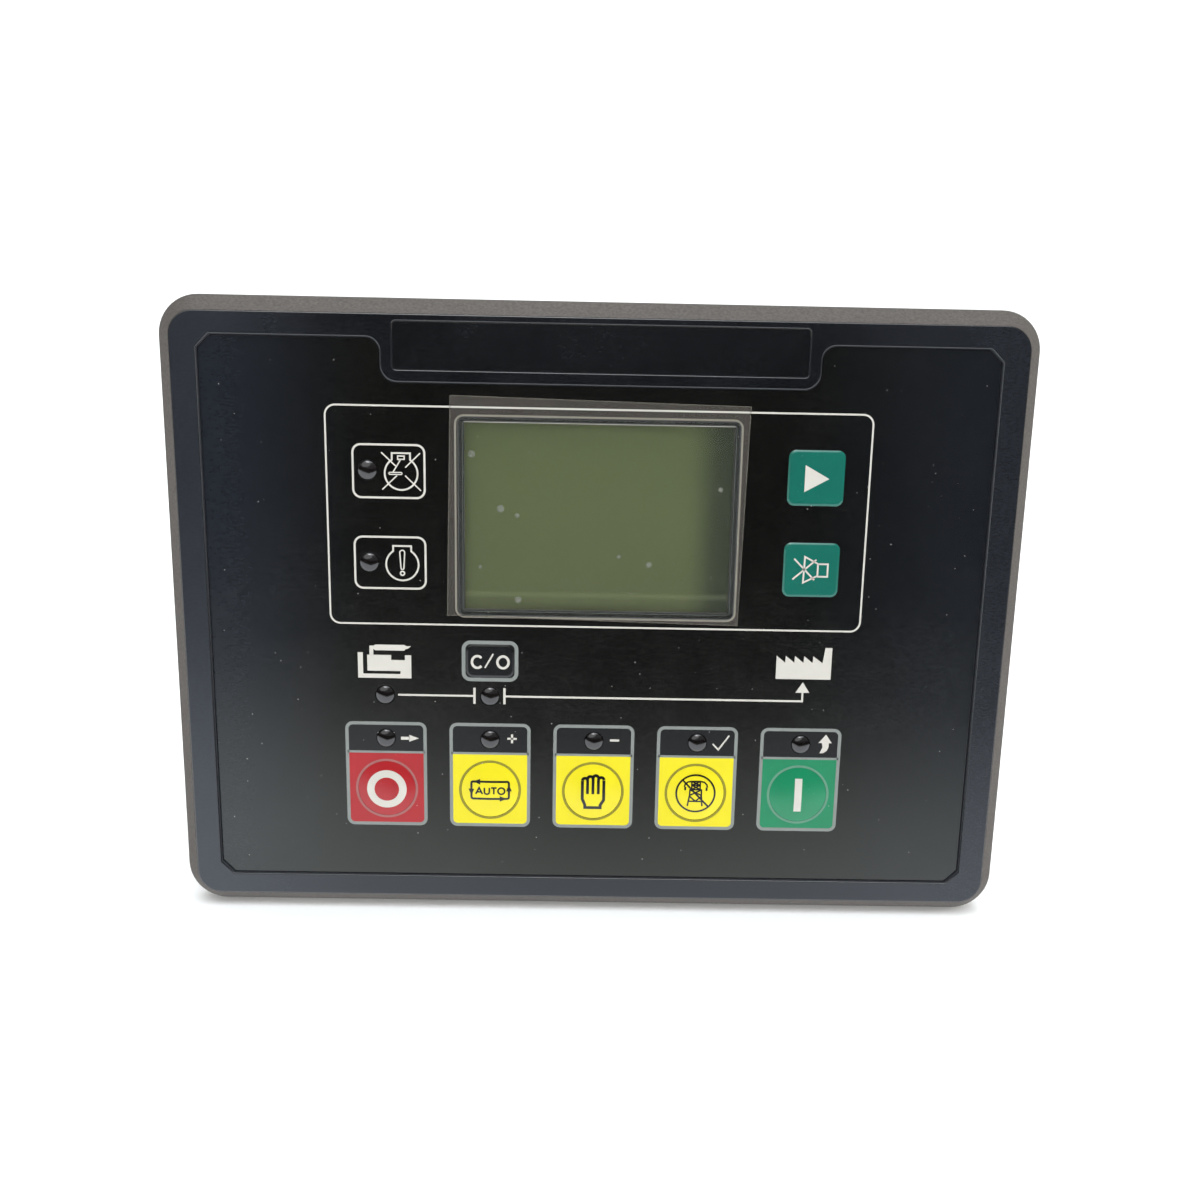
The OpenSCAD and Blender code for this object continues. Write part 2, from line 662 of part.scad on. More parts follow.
// Rear cover: skirt, terminal ledges, raised middle and posts on the main board
module rear_cover() color("#2a2b2d") difference() {
    union() {
        slab(split_y, ledge_y - side_wall + fit) rounded_ring(body_w, body_h, body_r, side_wall);
        crowned(body_w, body_h, body_r, ledge_y - side_wall, ledge_y);
        crowned(body_w, tub_h, body_r, ledge_y - side_wall, body_d);
        slab(split_y - tongue_l, split_y + fit) tongue_ring(tongue_gap, tongue_t);
        slab(split_y, split_y + tongue_l) tongue_ring(-fit, tongue_t + tongue_gap + fit);
        four(boss_x, boss_z) rod(boss_d, board_back, ledge_y - fit);
    }
    slab(ledge_y - side_wall - cut, body_d - side_wall)
        rounded(body_w - 2 * side_wall, tub_h - 2 * side_wall, body_r - side_wall);
    four(boss_x, boss_z) rod(screw_d + 2 * fit, board_back - cut, ledge_y);
    four(boss_x, boss_z) rod(screw_head[0] + 4 * fit, screw_seat_y, ledge_y + cut);
    for (h = HEADERS) slab(ledge_y - side_wall - cut, ledge_y + cut) header_outline(h, header_fit);
    at(usb_x, header_z) slab(ledge_y - side_wall - cut, ledge_y + cut)
        square(usb_size + 2 * [header_fit, header_fit], center = true);
    clip_slots();
}

front_case();
surround_film();
name_strip();
keypad_overlay();
display_window();
screen_protector();
lcd_frame();
lcd_glass();
lcd_backlight();
lcd_board();
lcd_screws();
lcd_connector();
main_board();
status_leds();
switch_bodies();
processor();
output_relays();
capacitors();
inductor();
rear_cover();
cover_screws();
usb_shell();
usb_insert();
for (l = LAMPS) lens(l);
for (k = KEYS) plunger(k);
for (k = KEYS) switch_button(k);
for (h = HEADERS) header(h);
for (h = HEADERS) header_pins(h);
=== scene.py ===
# %% [markdown]
# # A generating set controller
# The object is a panel-mounted controller: a grey moulded bezel, black printed films with embossed
# keys, small lamp windows and a display under a clear pane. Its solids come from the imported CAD
# model, so nothing here is fitted by eye: each piece is made in the same frame, in millimetres, and
# stored in metres. This lesson dresses those solids with films, printed marks and finishes.

# %% Load the CAD frame
import math

import bmesh
import bpy
from mathutils import Matrix, Vector
from mathutils.geometry import tessellate_polygon


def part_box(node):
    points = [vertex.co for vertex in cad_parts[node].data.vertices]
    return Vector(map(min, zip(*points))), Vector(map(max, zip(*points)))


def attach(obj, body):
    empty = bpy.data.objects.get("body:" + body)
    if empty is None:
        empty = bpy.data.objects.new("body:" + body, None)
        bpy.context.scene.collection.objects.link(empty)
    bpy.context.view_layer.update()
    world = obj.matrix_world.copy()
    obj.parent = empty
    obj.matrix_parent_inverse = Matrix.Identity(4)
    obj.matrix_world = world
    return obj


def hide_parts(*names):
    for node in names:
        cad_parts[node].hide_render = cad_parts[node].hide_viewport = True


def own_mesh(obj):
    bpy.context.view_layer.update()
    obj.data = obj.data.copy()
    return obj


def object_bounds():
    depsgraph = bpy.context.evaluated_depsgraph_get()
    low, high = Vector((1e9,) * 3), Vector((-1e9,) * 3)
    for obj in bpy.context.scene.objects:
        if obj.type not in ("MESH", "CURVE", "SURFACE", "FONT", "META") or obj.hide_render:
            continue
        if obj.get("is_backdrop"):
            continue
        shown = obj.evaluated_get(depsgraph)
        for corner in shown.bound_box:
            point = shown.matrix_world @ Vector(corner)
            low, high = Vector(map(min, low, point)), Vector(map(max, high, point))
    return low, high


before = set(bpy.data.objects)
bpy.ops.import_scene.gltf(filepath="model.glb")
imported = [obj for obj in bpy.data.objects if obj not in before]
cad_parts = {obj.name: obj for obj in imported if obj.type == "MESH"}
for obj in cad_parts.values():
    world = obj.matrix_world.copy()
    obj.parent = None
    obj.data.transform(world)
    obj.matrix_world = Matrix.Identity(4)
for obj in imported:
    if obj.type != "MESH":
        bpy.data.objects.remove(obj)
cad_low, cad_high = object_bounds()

MM = 0.001

# %% [markdown]
# ## Places taken from the CAD
# The films lie on planes that the CAD already knows. They could be typed in again, but then a change
# of size would leave the looks behind, so the planes and centres are read from the nodes' boxes.

# %% Read the planes and centres
def box_mm(node):
    """Lowest and highest corner of a CAD node, in millimetres."""
    low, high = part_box(node)
    return low / MM, high / MM


def centre(node):
    """Middle of a CAD node on the face: X and Z, in millimetres."""
    low, high = box_mm(node)
    return (low.x + high.x) / 2, (low.z + high.z) / 2


def span(node):
    """Width and height of a CAD node on the face, in millimetres."""
    low, high = box_mm(node)
    return high.x - low.x, high.z - low.z


FACE = box_mm("display_window")[0].y
DOME_TOP, RECESS_FLOOR = (corner.y for corner in box_mm("keypad_overlay"))
BORDER_FRONT, BORDER_BACK = (corner.y for corner in box_mm("surround_film"))
ROUND_KEYS = ["stop", "automatic", "manual", "test", "start"]
KEYS = ROUND_KEYS + ["changeover", "scroll", "mute"]
LAMPS = ROUND_KEYS + ["generator", "breaker", "shutdown", "warning"]
HEADERS = {"generator": 4, "mains": 4, "current": 8, "supply": 13, "input": 11}
KEY_AT = {key: centre(key + "_plunger") for key in KEYS}
LAMP_AT = {lamp: centre(lamp + "_lens") for lamp in LAMPS}
print("face plane", round(FACE, 2), "border plane", round(BORDER_FRONT, 2))

# %% [markdown]
# ## Camera
# The photograph was taken from a little above the middle, with a fairly wide lens close to the
# panel, so the upper edge looks longer than the lower one. The place and turn below were worked out
# from the panel's four edges in the photograph. A square picture with a 36 mm sensor and a 34.5 mm
# lens has the same field of view.

# %% Place the camera
EYE_MM = (-2.633, -292.07, 66.115)
TURN_DEG = (78.0214, -1.127, -0.4672)
SENSOR_MM, LENS_MM, NEAREST_M = 36.0, 34.5, 0.01

camera_data = bpy.data.cameras.new("photo_camera")
camera_data.sensor_fit = "HORIZONTAL"
camera_data.sensor_width = SENSOR_MM
camera_data.lens = LENS_MM
camera_data.clip_start = NEAREST_M
camera = bpy.data.objects.new("photo_camera", camera_data)
camera.location = Vector(EYE_MM) * MM
camera.rotation_euler = [math.radians(a) for a in TURN_DEG]
bpy.context.scene.collection.objects.link(camera)
bpy.context.scene.camera = camera
print("camera at", [round(c, 3) for c in camera.location])

# %% [markdown]
# ## Nodes and colours
# Every finish is a small node tree. One function adds a node, sets it and links it, whatever its
# kind, and another turns the sRGB colours that a person picks into the linear numbers that Blender's
# sockets take.

# %% Helpers for node trees
def linear(code):
    """Linear colour for an sRGB hex code."""
    srgb = [int(code[i:i + 2], 16) / 255 for i in (1, 3, 5)]
    return tuple(c / 12.92 if c <= 0.04045 else ((c + 0.055) / 1.055) ** 2.4 for c in srgb) + (1.0,)


def add(tree, kind, inputs=None, **settings):
    """Adds a node; each input is a value, or an output or node to link, or a list of those."""
    node = tree.nodes.new(kind)
    for name, value in settings.items():
        setattr(node, name, value)
    for name, value in (inputs or {}).items():
        for item in value if isinstance(value, list) else [value]:
            item = item.outputs[0] if isinstance(item, bpy.types.Node) else item
            if isinstance(item, bpy.types.NodeSocket):
                tree.links.new(item, node.inputs[name])
            else:
                node.inputs[name].default_value = item
    return node


def per_mm(size):
    """Texture scale for a pattern of that size in millimetres, on coordinates in metres."""
    return 1.0 / (size * MM)


def new_finish(name, **sockets):
    """An empty material: its tree, its shader and the piece's own coordinates."""
    material = bpy.data.materials.new(name)
    material.use_nodes = True
    tree = material.node_tree
    tree.nodes.clear()
    constants = {socket.replace("_", " "): value for socket, value in sockets.items()}
    shader = add(tree, "ShaderNodeBsdfPrincipled", constants)
    add(tree, "ShaderNodeOutputMaterial", {"Surface": shader})
    return material, tree, shader, add(tree, "ShaderNodeTexCoord").outputs["Object"]


def drift(tree, shader, coords, light, dark, size):
    """Colour that wanders slowly between two shades."""
    noise = add(tree, "ShaderNodeTexNoise", {"Vector": coords, "Scale": per_mm(size), "Detail": 4.0})
    shade = add(tree, "ShaderNodeMix", {0: noise, 6: linear(light), 7: linear(dark)},
                data_type="RGBA")
    tree.links.new(shade.outputs[2], shader.inputs["Base Color"])


def relief(tree, shader, pattern, depth, strength):
    """Relief of that depth in millimetres from a pattern."""
    bump = add(tree, "ShaderNodeBump",
               {"Height": pattern, "Distance": depth * MM, "Strength": strength})
    tree.links.new(bump.outputs[0], shader.inputs["Normal"])


def gloss(tree, shader, pattern, low, high):
    """Roughness that follows a pattern between two values."""
    spread = add(tree, "ShaderNodeMapRange", {"Value": pattern, "To Min": low, "To Max": high})
    tree.links.new(spread.outputs[0], shader.inputs["Roughness"])


print("node helpers ready")

# %% [markdown]
# ## Moulded plastics
# The bezel and the rear cover are ABS, moulded in a spark-eroded tool: a fine even grain that breaks
# up the gloss. The connectors are a harder nylon with a slight sheen. A picture of plastic could be
# wrapped round the part, but a noise in the piece's own coordinates has no seams and the right size
# everywhere. Real erosion grain is about 0.1 mm, which is too fine to show, so it is drawn coarser.

# %% Make the plastics
def moulded(name, light, dark, grain, low, high, depth, **sockets):
    """Moulded plastic with an eroded grain, in millimetres, and roughness from low to high."""
    material, tree, shader, coords = new_finish(name, **sockets)
    drift(tree, shader, coords, light, dark, 30.0)
    fine = add(tree, "ShaderNodeTexNoise", {"Vector": coords, "Scale": per_mm(grain), "Detail": 3.0})
    gloss(tree, shader, fine, low, high)
    relief(tree, shader, fine, depth, 0.6)
    return material


# Taupe-grey ABS of the bezel: matt, and coarser than the rest
CASE_ABS = moulded("textured_abs_taupe", "#5a544f", "#524d48", 0.5, 0.55, 0.7, 0.14,
                   Specular_IOR_Level=0.3)
# Black ABS of the rear cover: the same grain, darker
COVER_ABS = moulded("textured_abs_black", "#2b2c2e", "#232426", 0.6, 0.5, 0.68, 0.05)
# Green nylon of the terminal headers: smoother, with a slight shine
HEADER_NYLON = moulded("moulded_nylon_green", "#2f9152", "#277e46", 0.8, 0.34, 0.44, 0.01)
# Natural acetal of the plungers and buttons: milky white, and slippery
PLUNGER_ACETAL = moulded("moulded_acetal_white", "#d9d6cc", "#cfccc0", 0.8, 0.36, 0.48, 0.01)
# Black phenolic of switches, chips and connectors: dull
BLACK_PHENOLIC = moulded("moulded_phenolic_black", "#1d1d1f", "#161618", 0.5, 0.5, 0.62, 0.02)
# Blue polyester of the relay cases: smooth and shiny
RELAY_POLYESTER = moulded("moulded_polyester_blue", "#2d5384", "#264773", 0.7, 0.3, 0.4, 0.01)
# White epoxy of the small lamps on the board: glossy
LAMP_EPOXY = moulded("moulded_epoxy_white", "#ecebe0", "#e2e0d3", 0.6, 0.25, 0.35, 0.005)
# Sleeve of the capacitors: shiny shrunk film
SLEEVE_FILM = moulded("shrink_sleeve_dark", "#262a33", "#1f222a", 2.0, 0.2, 0.32, 0.02)
# Ferrite core: dull and dark brown-grey
FERRITE = moulded("sintered_ferrite", "#57493a", "#463b30", 0.4, 0.6, 0.75, 0.04)
# White nylon of the data socket's tongue: like the headers, but pale
SOCKET_NYLON = moulded("moulded_nylon_white", "#ebebe6", "#dfdfd8", 0.7, 0.36, 0.46, 0.01)
# Light guide behind the display: clear acrylic with a milky back
LIGHT_GUIDE = moulded("moulded_acrylic_milky", "#e6e8d8", "#dcdecd", 1.0, 0.3, 0.4, 0.005)
print("plastics:", [m.name for m in bpy.data.materials if "moulded" in m.name or "abs" in m.name])

# %% [markdown]
# ## Flecks and painted shade on the bezel
# Seen close, the grain of the bezel gives light and dark flecks. Its face under the films is painted
# dark grey as a painted shade, so that the gaps between them look shaded and no lit grey shows. The
# painted shade could be a piece of its own, but a mask from the piece's coordinates needs no second
# skin: it is a box in front of one level.

# %% Add the flecks and the painted shade
FLECK_MM, FLECK_DARK, FLECK_LIGHT = 0.7, 0.78, 1.22
# Reach, depth and colour of the painted shade on the bezel's face
GAP_SHADE_REACH, GAP_SHADE_Y, GAP_SHADE_COLOUR = {"X": 100.0, "Z": 71.5}, -5.6, "#323438"

case = CASE_ABS.node_tree
case_colour = case.nodes["Principled BSDF"].inputs["Base Color"]
case_coords = case.nodes["Texture Coordinate"].outputs["Object"]
case_grain = add(case, "ShaderNodeTexNoise",
                 {"Vector": case_coords, "Scale": per_mm(FLECK_MM), "Detail": 2.0})
case_fleck = add(case, "ShaderNodeMapRange", {"Value": case_grain, "From Min": 0.3, "From Max": 0.7,
                                              "To Min": FLECK_DARK, "To Max": FLECK_LIGHT})
case_shade = add(case, "ShaderNodeVectorMath",
                 {0: case_colour.links[0].from_socket, "Scale": case_fleck}, operation="SCALE")
# Painted shade: inside the box and in front of that level, the bezel's colour turns dark grey
case_axes = add(case, "ShaderNodeSeparateXYZ", {0: case_coords})
gap_shade_mask = add(case, "ShaderNodeMath", {0: case_axes.outputs["Y"], 1: GAP_SHADE_Y * MM},
              operation="LESS_THAN")
for axis, limit in GAP_SHADE_REACH.items():
    reach = add(case, "ShaderNodeMath", {0: case_axes.outputs[axis]}, operation="ABSOLUTE")
    inside = add(case, "ShaderNodeMath", {0: reach, 1: limit * MM}, operation="LESS_THAN")
    gap_shade_mask = add(case, "ShaderNodeMath", {0: inside, 1: gap_shade_mask}, operation="MULTIPLY")
case_with_gap_shade = add(case, "ShaderNodeMix", {0: gap_shade_mask, 6: case_shade, 7: linear(GAP_SHADE_COLOUR)},
                data_type="RGBA")
case.links.new(case_with_gap_shade.outputs[2], case_colour)
print("bezel finish:", len(case.nodes), "nodes")

# %% [markdown]
# ## Films and inks
# The black faces are polyester films with a satin front and screen-printed colours. What the eye
# sees is fine level brushing, faint patches where hands and packing have rubbed it, a painted grey
# sheen towards both ends that stands in for reflected light, and flat inks that share the film's
# gloss. All of it is noise in the piece's own coordinates. The brushing is drawn out along X; its
# real lines are about 0.1 mm apart, and they are drawn 0.5 mm apart so that they show.

# %% Make the films
BRUSHING_MM, DRAWN_OUT, RUBBED_MM = 0.5, 0.4, 14.0
# Where the painted sheen begins and is full along X, in millimetres, and how much of it there is
PAINTED_SHEEN_ENDS = ((-55.0, -100.0, 1.0), (42.0, 104.0, 0.62))


def film(name, clean, scuffed, painted_sheen, low, high, depth, cast="#f0f4fa"):
    """Satin polyester film; its cast is the tint of what it mirrors."""
    material, tree, shader, coords = new_finish(name, IOR=1.6, Specular_Tint=linear(cast))
    drawn = add(tree, "ShaderNodeMapping", {"Vector": coords, "Scale": (DRAWN_OUT, 1.0, 1.0)})
    brushing = add(tree, "ShaderNodeTexNoise",
                   {"Vector": drawn, "Scale": per_mm(BRUSHING_MM), "Detail": 3.0})
    rubbed = add(tree, "ShaderNodeTexNoise",
                 {"Vector": coords, "Scale": per_mm(RUBBED_MM), "Detail": 7.0, "Roughness": 0.68})
    both = add(tree, "ShaderNodeMath", {0: brushing, 1: rubbed}, operation="MULTIPLY")
    spread = add(tree, "ShaderNodeMapRange", {"Value": both, "From Min": 0.12, "From Max": 0.42})
    shade = add(tree, "ShaderNodeMix", {0: spread, 6: linear(clean), 7: linear(scuffed)},
                data_type="RGBA")
    along = add(tree, "ShaderNodeSeparateXYZ", {0: coords}).outputs["X"]
    # Painted sheen: towards both ends the colour turns to a lighter grey that stands in for
    # reflected light
    for begins, full, most in PAINTED_SHEEN_ENDS:
        grain = add(tree, "ShaderNodeMapRange", {"Value": brushing, "From Min": 0.3, "From Max": 0.7,
                                                 "To Min": 0.8 * most, "To Max": most})
        end = add(tree, "ShaderNodeMapRange",
                  {"Value": along, "From Min": begins * MM, "From Max": full * MM, "To Max": grain},
                  interpolation_type="SMOOTHSTEP")
        shade = add(tree, "ShaderNodeMix", {0: end, 6: shade.outputs[2], 7: linear(painted_sheen)},
                    data_type="RGBA")
    tree.links.new(shade.outputs[2], shader.inputs["Base Color"])
    gloss(tree, shader, spread, low, high)
    relief(tree, shader, brushing, depth, 0.5)
    return material


# Border film: blue-black, a little more worn than the keypad
BORDER_FILM = film("satin_polyester_border", "#09090b", "#15171b", "#2a2d33", 0.19, 0.27, 0.002)
# Keypad film: near black, with the clearest brushing and a slightly warm gloss
KEYPAD_FILM = film("satin_polyester_keypad", "#090908", "#100f0e", "#20242c", 0.17, 0.24, 0.0016,
                   cast="#f0f1e7")
# Name strip: plain dark film, left blank
STRIP_FILM = film("satin_polyester_strip", "#09090b", "#0d0e10", "#101216", 0.2, 0.28, 0.0015)
print("films:", BORDER_FILM.name, KEYPAD_FILM.name, STRIP_FILM.name)

# %% Make the inks
def ink(name, light, dark, ior=1.55):
    """Screen ink under the film's satin front: nearly flat colour, with a slight drift."""
    material, tree, shader, coords = new_finish(name, IOR=ior)
    drift(tree, shader, coords, light, dark, 6.0)
    fine = add(tree, "ShaderNodeTexNoise", {"Vector": coords, "Scale": per_mm(0.6), "Detail": 2.0})
    gloss(tree, shader, fine, 0.2, 0.3)
    relief(tree, shader, fine, 0.004, 0.4)
    return material


# Cut edge of the films: a painted highlight, a little lighter than the face, that shows as a thin
# line
FILM_EDGE_HIGHLIGHT = ink("cut_polyester_edge_highlight", "#1e2023", "#181a1c", ior=1.75)
# Painted light under the peel-off film's margin, where it doesn't cling: brownish, and uneven
MARGIN_PAINTED_LIGHT = ink("margin_painted_light", "#3f3635", "#2f2d25")
# The last shade is no ink of the print but a painted highlight of the display pane's bevel
INK_SHADES = {
    "white": ("#d9d5cc", "#cfcbc2"), "grey": ("#8d928e", "#838884"), "black": ("#0d0e0e", "#0a0b0b"),
    "red": ("#b21a21", "#a5161d"), "yellow": ("#f1e200", "#e9d900"), "green": ("#088a5c", "#078054"),
    "teal": ("#066c5d", "#056355"), "olive": ("#938a16", "#857d14"), "rose": ("#a96663", "#9d5d5b"),
    "sage": ("#63997f", "#598c74"), "bevel_highlight": ("#8f897d", "#857f74"),
}
INKS = {colour: ink("screen_ink_" + colour, *shades) for colour, shades in INK_SHADES.items()}
INK_SLOT = {colour: i for i, colour in enumerate(INKS)}
print("inks:", list(INKS))

# %% [markdown]
# ## Clear pieces, metals and boards
# The pane over the display is polished acrylic, the peel-off film is thin polyester with a slight
# haze, and the lamp windows are smoked polycarbonate, so dark that they show only their reflections.
# The clear sheets have no gloss of their own: the display's glass lies just behind them and gives
# the one reflection that the eye sees. The metals are a tinned sheet, zinc-plated screws and tinned
# pins: bright, with a fine cloudiness from plating. The boards are glass-fibre laminate, where the
# weave shows faintly under the green.

# %% Make the clear finishes
def clear(name, tint, opacity, rough, ripple, depth):
    """See-through sheet: how much it veils what lies behind is its opacity."""
    material, tree, shader, coords = new_finish(name, Base_Color=linear(tint), Alpha=opacity,
                                                Roughness=rough, Specular_IOR_Level=0.0)
    waves = add(tree, "ShaderNodeTexNoise",
                {"Vector": coords, "Scale": per_mm(ripple), "Detail": 2.0})
    relief(tree, shader, waves, depth, 0.5)
    return material


# Polished acrylic of the pane, and its bevelled rim, which is seen through its own thickness
ACRYLIC = clear("polished_acrylic_clear", "#606464", 0.01, 0.05, 25.0, 0.01)
ACRYLIC_RIM = clear("polished_acrylic_rim", "#a0a6a6", 0.12, 0.1, 25.0, 0.01)
# Peel-off polyester, slightly rippled, and its cut edge, where light leaves it
PEEL_FILM = clear("peel_off_polyester", "#b0b2a8", 0.028, 0.15, 7.0, 0.05)
CUT_EDGE = clear("peel_off_cut_edge", "#857f75", 0.5, 0.3, 2.0, 0.02)
# Air trapped under the peel-off film: a pale veil
AIR_BUBBLE = clear("trapped_air", "#d6dcc6", 0.13, 0.2, 1.0, 0.02)

# Smoked polycarbonate: nearly black and polished, so it shows a light arc above and the table below
SMOKED_LENS, tree, shader, coords = new_finish("smoked_polycarbonate", IOR=1.58, Coat_Weight=0.4)
drift(tree, shader, coords, "#181413", "#100d0c", 2.0)
gloss(tree, shader, add(tree, "ShaderNodeTexNoise", {"Vector": coords, "Scale": per_mm(1.5)}),
      0.1, 0.17)
print("clear finishes:", ACRYLIC.name, PEEL_FILM.name, SMOKED_LENS.name)

# %% Make the display's glass
# Liquid-crystal glass, unlit: olive grey, with a painted shade towards one end and one faint level
# band of painted light
# Where the painted shade begins and is full along X, and the level, half width and strength of the
# painted light band
PAINTED_SHADE_FROM, PAINTED_SHADE_FULL = 22.0, 31.0
PAINTED_BAND_V, PAINTED_BAND_HALF, PAINTED_BAND_LIGHT = 6.2, 1.1, 0.2
DISPLAY_GLASS, tree, shader, coords = new_finish("unlit_display_glass", IOR=1.5)
glass_low, glass_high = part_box("lcd_glass")
axes = add(tree, "ShaderNodeSeparateXYZ", {0: coords})
rise = add(tree, "ShaderNodeMapRange",
           {"Value": axes.outputs["Z"], "From Min": glass_low.z, "From Max": glass_high.z})
olive = add(tree, "ShaderNodeMix", {0: rise, 6: linear("#555c39"), 7: linear("#545e37")},
            data_type="RGBA")
# Painted shade: the glass darkens towards its right end
side = add(tree, "ShaderNodeMapRange",
           {"Value": axes.outputs["X"], "From Min": PAINTED_SHADE_FROM * MM, "From Max": PAINTED_SHADE_FULL * MM},
           interpolation_type="SMOOTHSTEP")
painted_shade = add(tree, "ShaderNodeMix", {0: side, 6: olive.outputs[2], 7: linear("#2f3723")},
             data_type="RGBA")
# Painted light: one faint lighter level band
above = add(tree, "ShaderNodeMath", {0: axes.outputs["Z"], 1: PAINTED_BAND_V * MM}, operation="SUBTRACT")
away = add(tree, "ShaderNodeMath", {0: above}, operation="ABSOLUTE")
glow = add(tree, "ShaderNodeMapRange",
           {"Value": away, "From Max": PAINTED_BAND_HALF * MM, "To Min": PAINTED_BAND_LIGHT, "To Max": 0.0})
painted_band = add(tree, "ShaderNodeMix", {0: glow, 6: painted_shade.outputs[2], 7: linear("#8d9672")},
             data_type="RGBA")
tree.links.new(painted_band.outputs[2], shader.inputs["Base Color"])
fine = add(tree, "ShaderNodeTexNoise", {"Vector": coords, "Scale": per_mm(6.0), "Detail": 2.0})
gloss(tree, shader, fine, 0.1, 0.16)
print("display glass:", len(tree.nodes), "nodes")

# %% Make the metals and boards
def plated(name, light, dark, low, high):
    """Plated metal with a fine cloudiness."""
    material, tree, shader, coords = new_finish(name, Metallic=1.0)
    drift(tree, shader, coords, light, dark, 4.0)
    cloud = add(tree, "ShaderNodeTexNoise", {"Vector": coords, "Scale": per_mm(1.2), "Detail": 5.0})
    gloss(tree, shader, cloud, low, high)
    return material


# Tinned sheet of the frame and socket, bright zinc of the screws, and warmer tinned brass pins
TINNED_SHEET = plated("tinned_steel_sheet", "#b9bab8", "#a6a7a5", 0.28, 0.42)
ZINC_PLATE = plated("zinc_plated_steel", "#c6c7c9", "#b0b2b4", 0.24, 0.36)
TINNED_PIN = plated("tinned_brass", "#cfcdc6", "#bdbbb3", 0.2, 0.32)

# Glass-fibre laminate under green solder resist: a weave of about 0.5 mm, drawn at 0.8 mm
LAMINATE, tree, shader, coords = new_finish("solder_resist_green", IOR=1.55)
drift(tree, shader, coords, "#1c5c3a", "#174d31", 8.0)
weave = add(tree, "ShaderNodeTexChecker", {"Vector": coords, "Scale": per_mm(0.8)})
gloss(tree, shader, weave.outputs["Fac"], 0.28, 0.36)
print("metals and boards:", TINNED_SHEET.name, ZINC_PLATE.name, TINNED_PIN.name, LAMINATE.name)

# %% [markdown]
# ## Finishes for the CAD pieces
# Rigid pieces whose shape is right stay as the CAD made them, and only take a finish. A new mesh
# could be laid over each, but it would add nothing that the eye can see.

# %% Dress the CAD nodes
NODE_FINISH = {
    "lcd_frame": TINNED_SHEET, "lcd_glass": DISPLAY_GLASS, "lcd_backlight": LIGHT_GUIDE,
    "lcd_board": LAMINATE, "lcd_screws": ZINC_PLATE, "lcd_connector": BLACK_PHENOLIC,
    "main_board": LAMINATE, "status_leds": LAMP_EPOXY, "switch_bodies": BLACK_PHENOLIC,
    "processor": BLACK_PHENOLIC, "output_relays": RELAY_POLYESTER, "capacitors": SLEEVE_FILM,
    "inductor": FERRITE, "usb_shell": TINNED_SHEET, "usb_insert": SOCKET_NYLON,
    "front_case": CASE_ABS, "rear_cover": COVER_ABS,
}
NODE_FINISH.update({key + part: PLUNGER_ACETAL for key in KEYS for part in ("_plunger", "_button")})
NODE_FINISH.update({header + "_header": HEADER_NYLON for header in HEADERS})
for node, finish in NODE_FINISH.items():
    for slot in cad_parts[node].material_slots:
        slot.material = finish
print("dressed", len(NODE_FINISH), "CAD nodes")

# %% [markdown]
# ## Flat outlines
# The films and marks are all flat shapes with a thickness. They could be drawn as curves, but a
# short list of points gives full control: lines, arcs, and outlines that are moved inwards by a set
# distance. Outlines run anticlockwise and holes clockwise, so their left side is always material.

# %% Outline helpers
def arc(u, v, r, start, end, steps=8):
    """Points on an arc, from one angle to another in degrees."""
    angles = [math.radians(start + (end - start) * i / steps) for i in range(steps + 1)]
    return [(u + r * math.cos(a), v + r * math.sin(a)) for a in angles]


def circle(u, v, r, steps=64):
    return arc(u, v, r, 0, 360, steps)[:-1]


def round_box(u, v, w, h, r, steps=8):
    """Rectangle with round corners."""
    a, b = w / 2 - r, h / 2 - r
    return (arc(u + a, v + b, r, 0, 90, steps) + arc(u - a, v + b, r, 90, 180, steps)
            + arc(u - a, v - b, r, 180, 270, steps) + arc(u + a, v - b, r, 270, 360, steps))


def inset(loop, distance):
    """The outline moved to its left, with mitred corners."""
    moved = []
    for i, point in enumerate(loop):
        here = Vector(point)
        back = (here - Vector(loop[i - 1])).normalized()
        ahead = (Vector(loop[(i + 1) % len(loop)]) - here).normalized()
        left = Vector((-back.y - ahead.y, back.x + ahead.x))
        moved.append(tuple(here + left * distance / (1 + back.dot(ahead))))
    return moved


def hole(loop):
    return loop[::-1]


def shifted(points, u, v):
    return [(u + a, v + b) for a, b in points]


def level(y):
    """A flat surface at that depth, for marks to lie on."""
    return lambda u, v: y


flat = level(FACE)
print("outline helpers ready")

# %% [markdown]
# ## Plates, strokes and finished pieces
# A plate is an outline with holes, given a thickness and a rounded front edge, because a real cut
# edge is never razor sharp and its thin highlight is what the eye reads as an edge. A stroke is a
# printed line of even width. Both lie on a surface function, so that a mark can follow a dome.

# %% Plate helpers
EDGE_STEPS = 3
# Level ring just inside a rounded edge, which keeps the flat's shading flat
SUPPORT = 0.08


def wall(bm, rings, slot):
    """Closed bands of faces between rings of vertices."""
    for a, b in zip(rings, rings[1:]):
        for i in range(len(a)):
            j = (i + 1) % len(a)
            bm.faces.new((a[i], a[j], b[j], b[i])).material_index = slot


def cap(bm, loops, slot):
    """Flat face across an outline with holes."""
    corners = [vert for loop in loops for vert in loop]
    for triangle in tessellate_polygon([[(v.co.x, v.co.z, 0.0) for v in loop] for loop in loops]):
        if len(set(triangle)) == 3:
            bm.faces.new([corners[i] for i in triangle]).material_index = slot


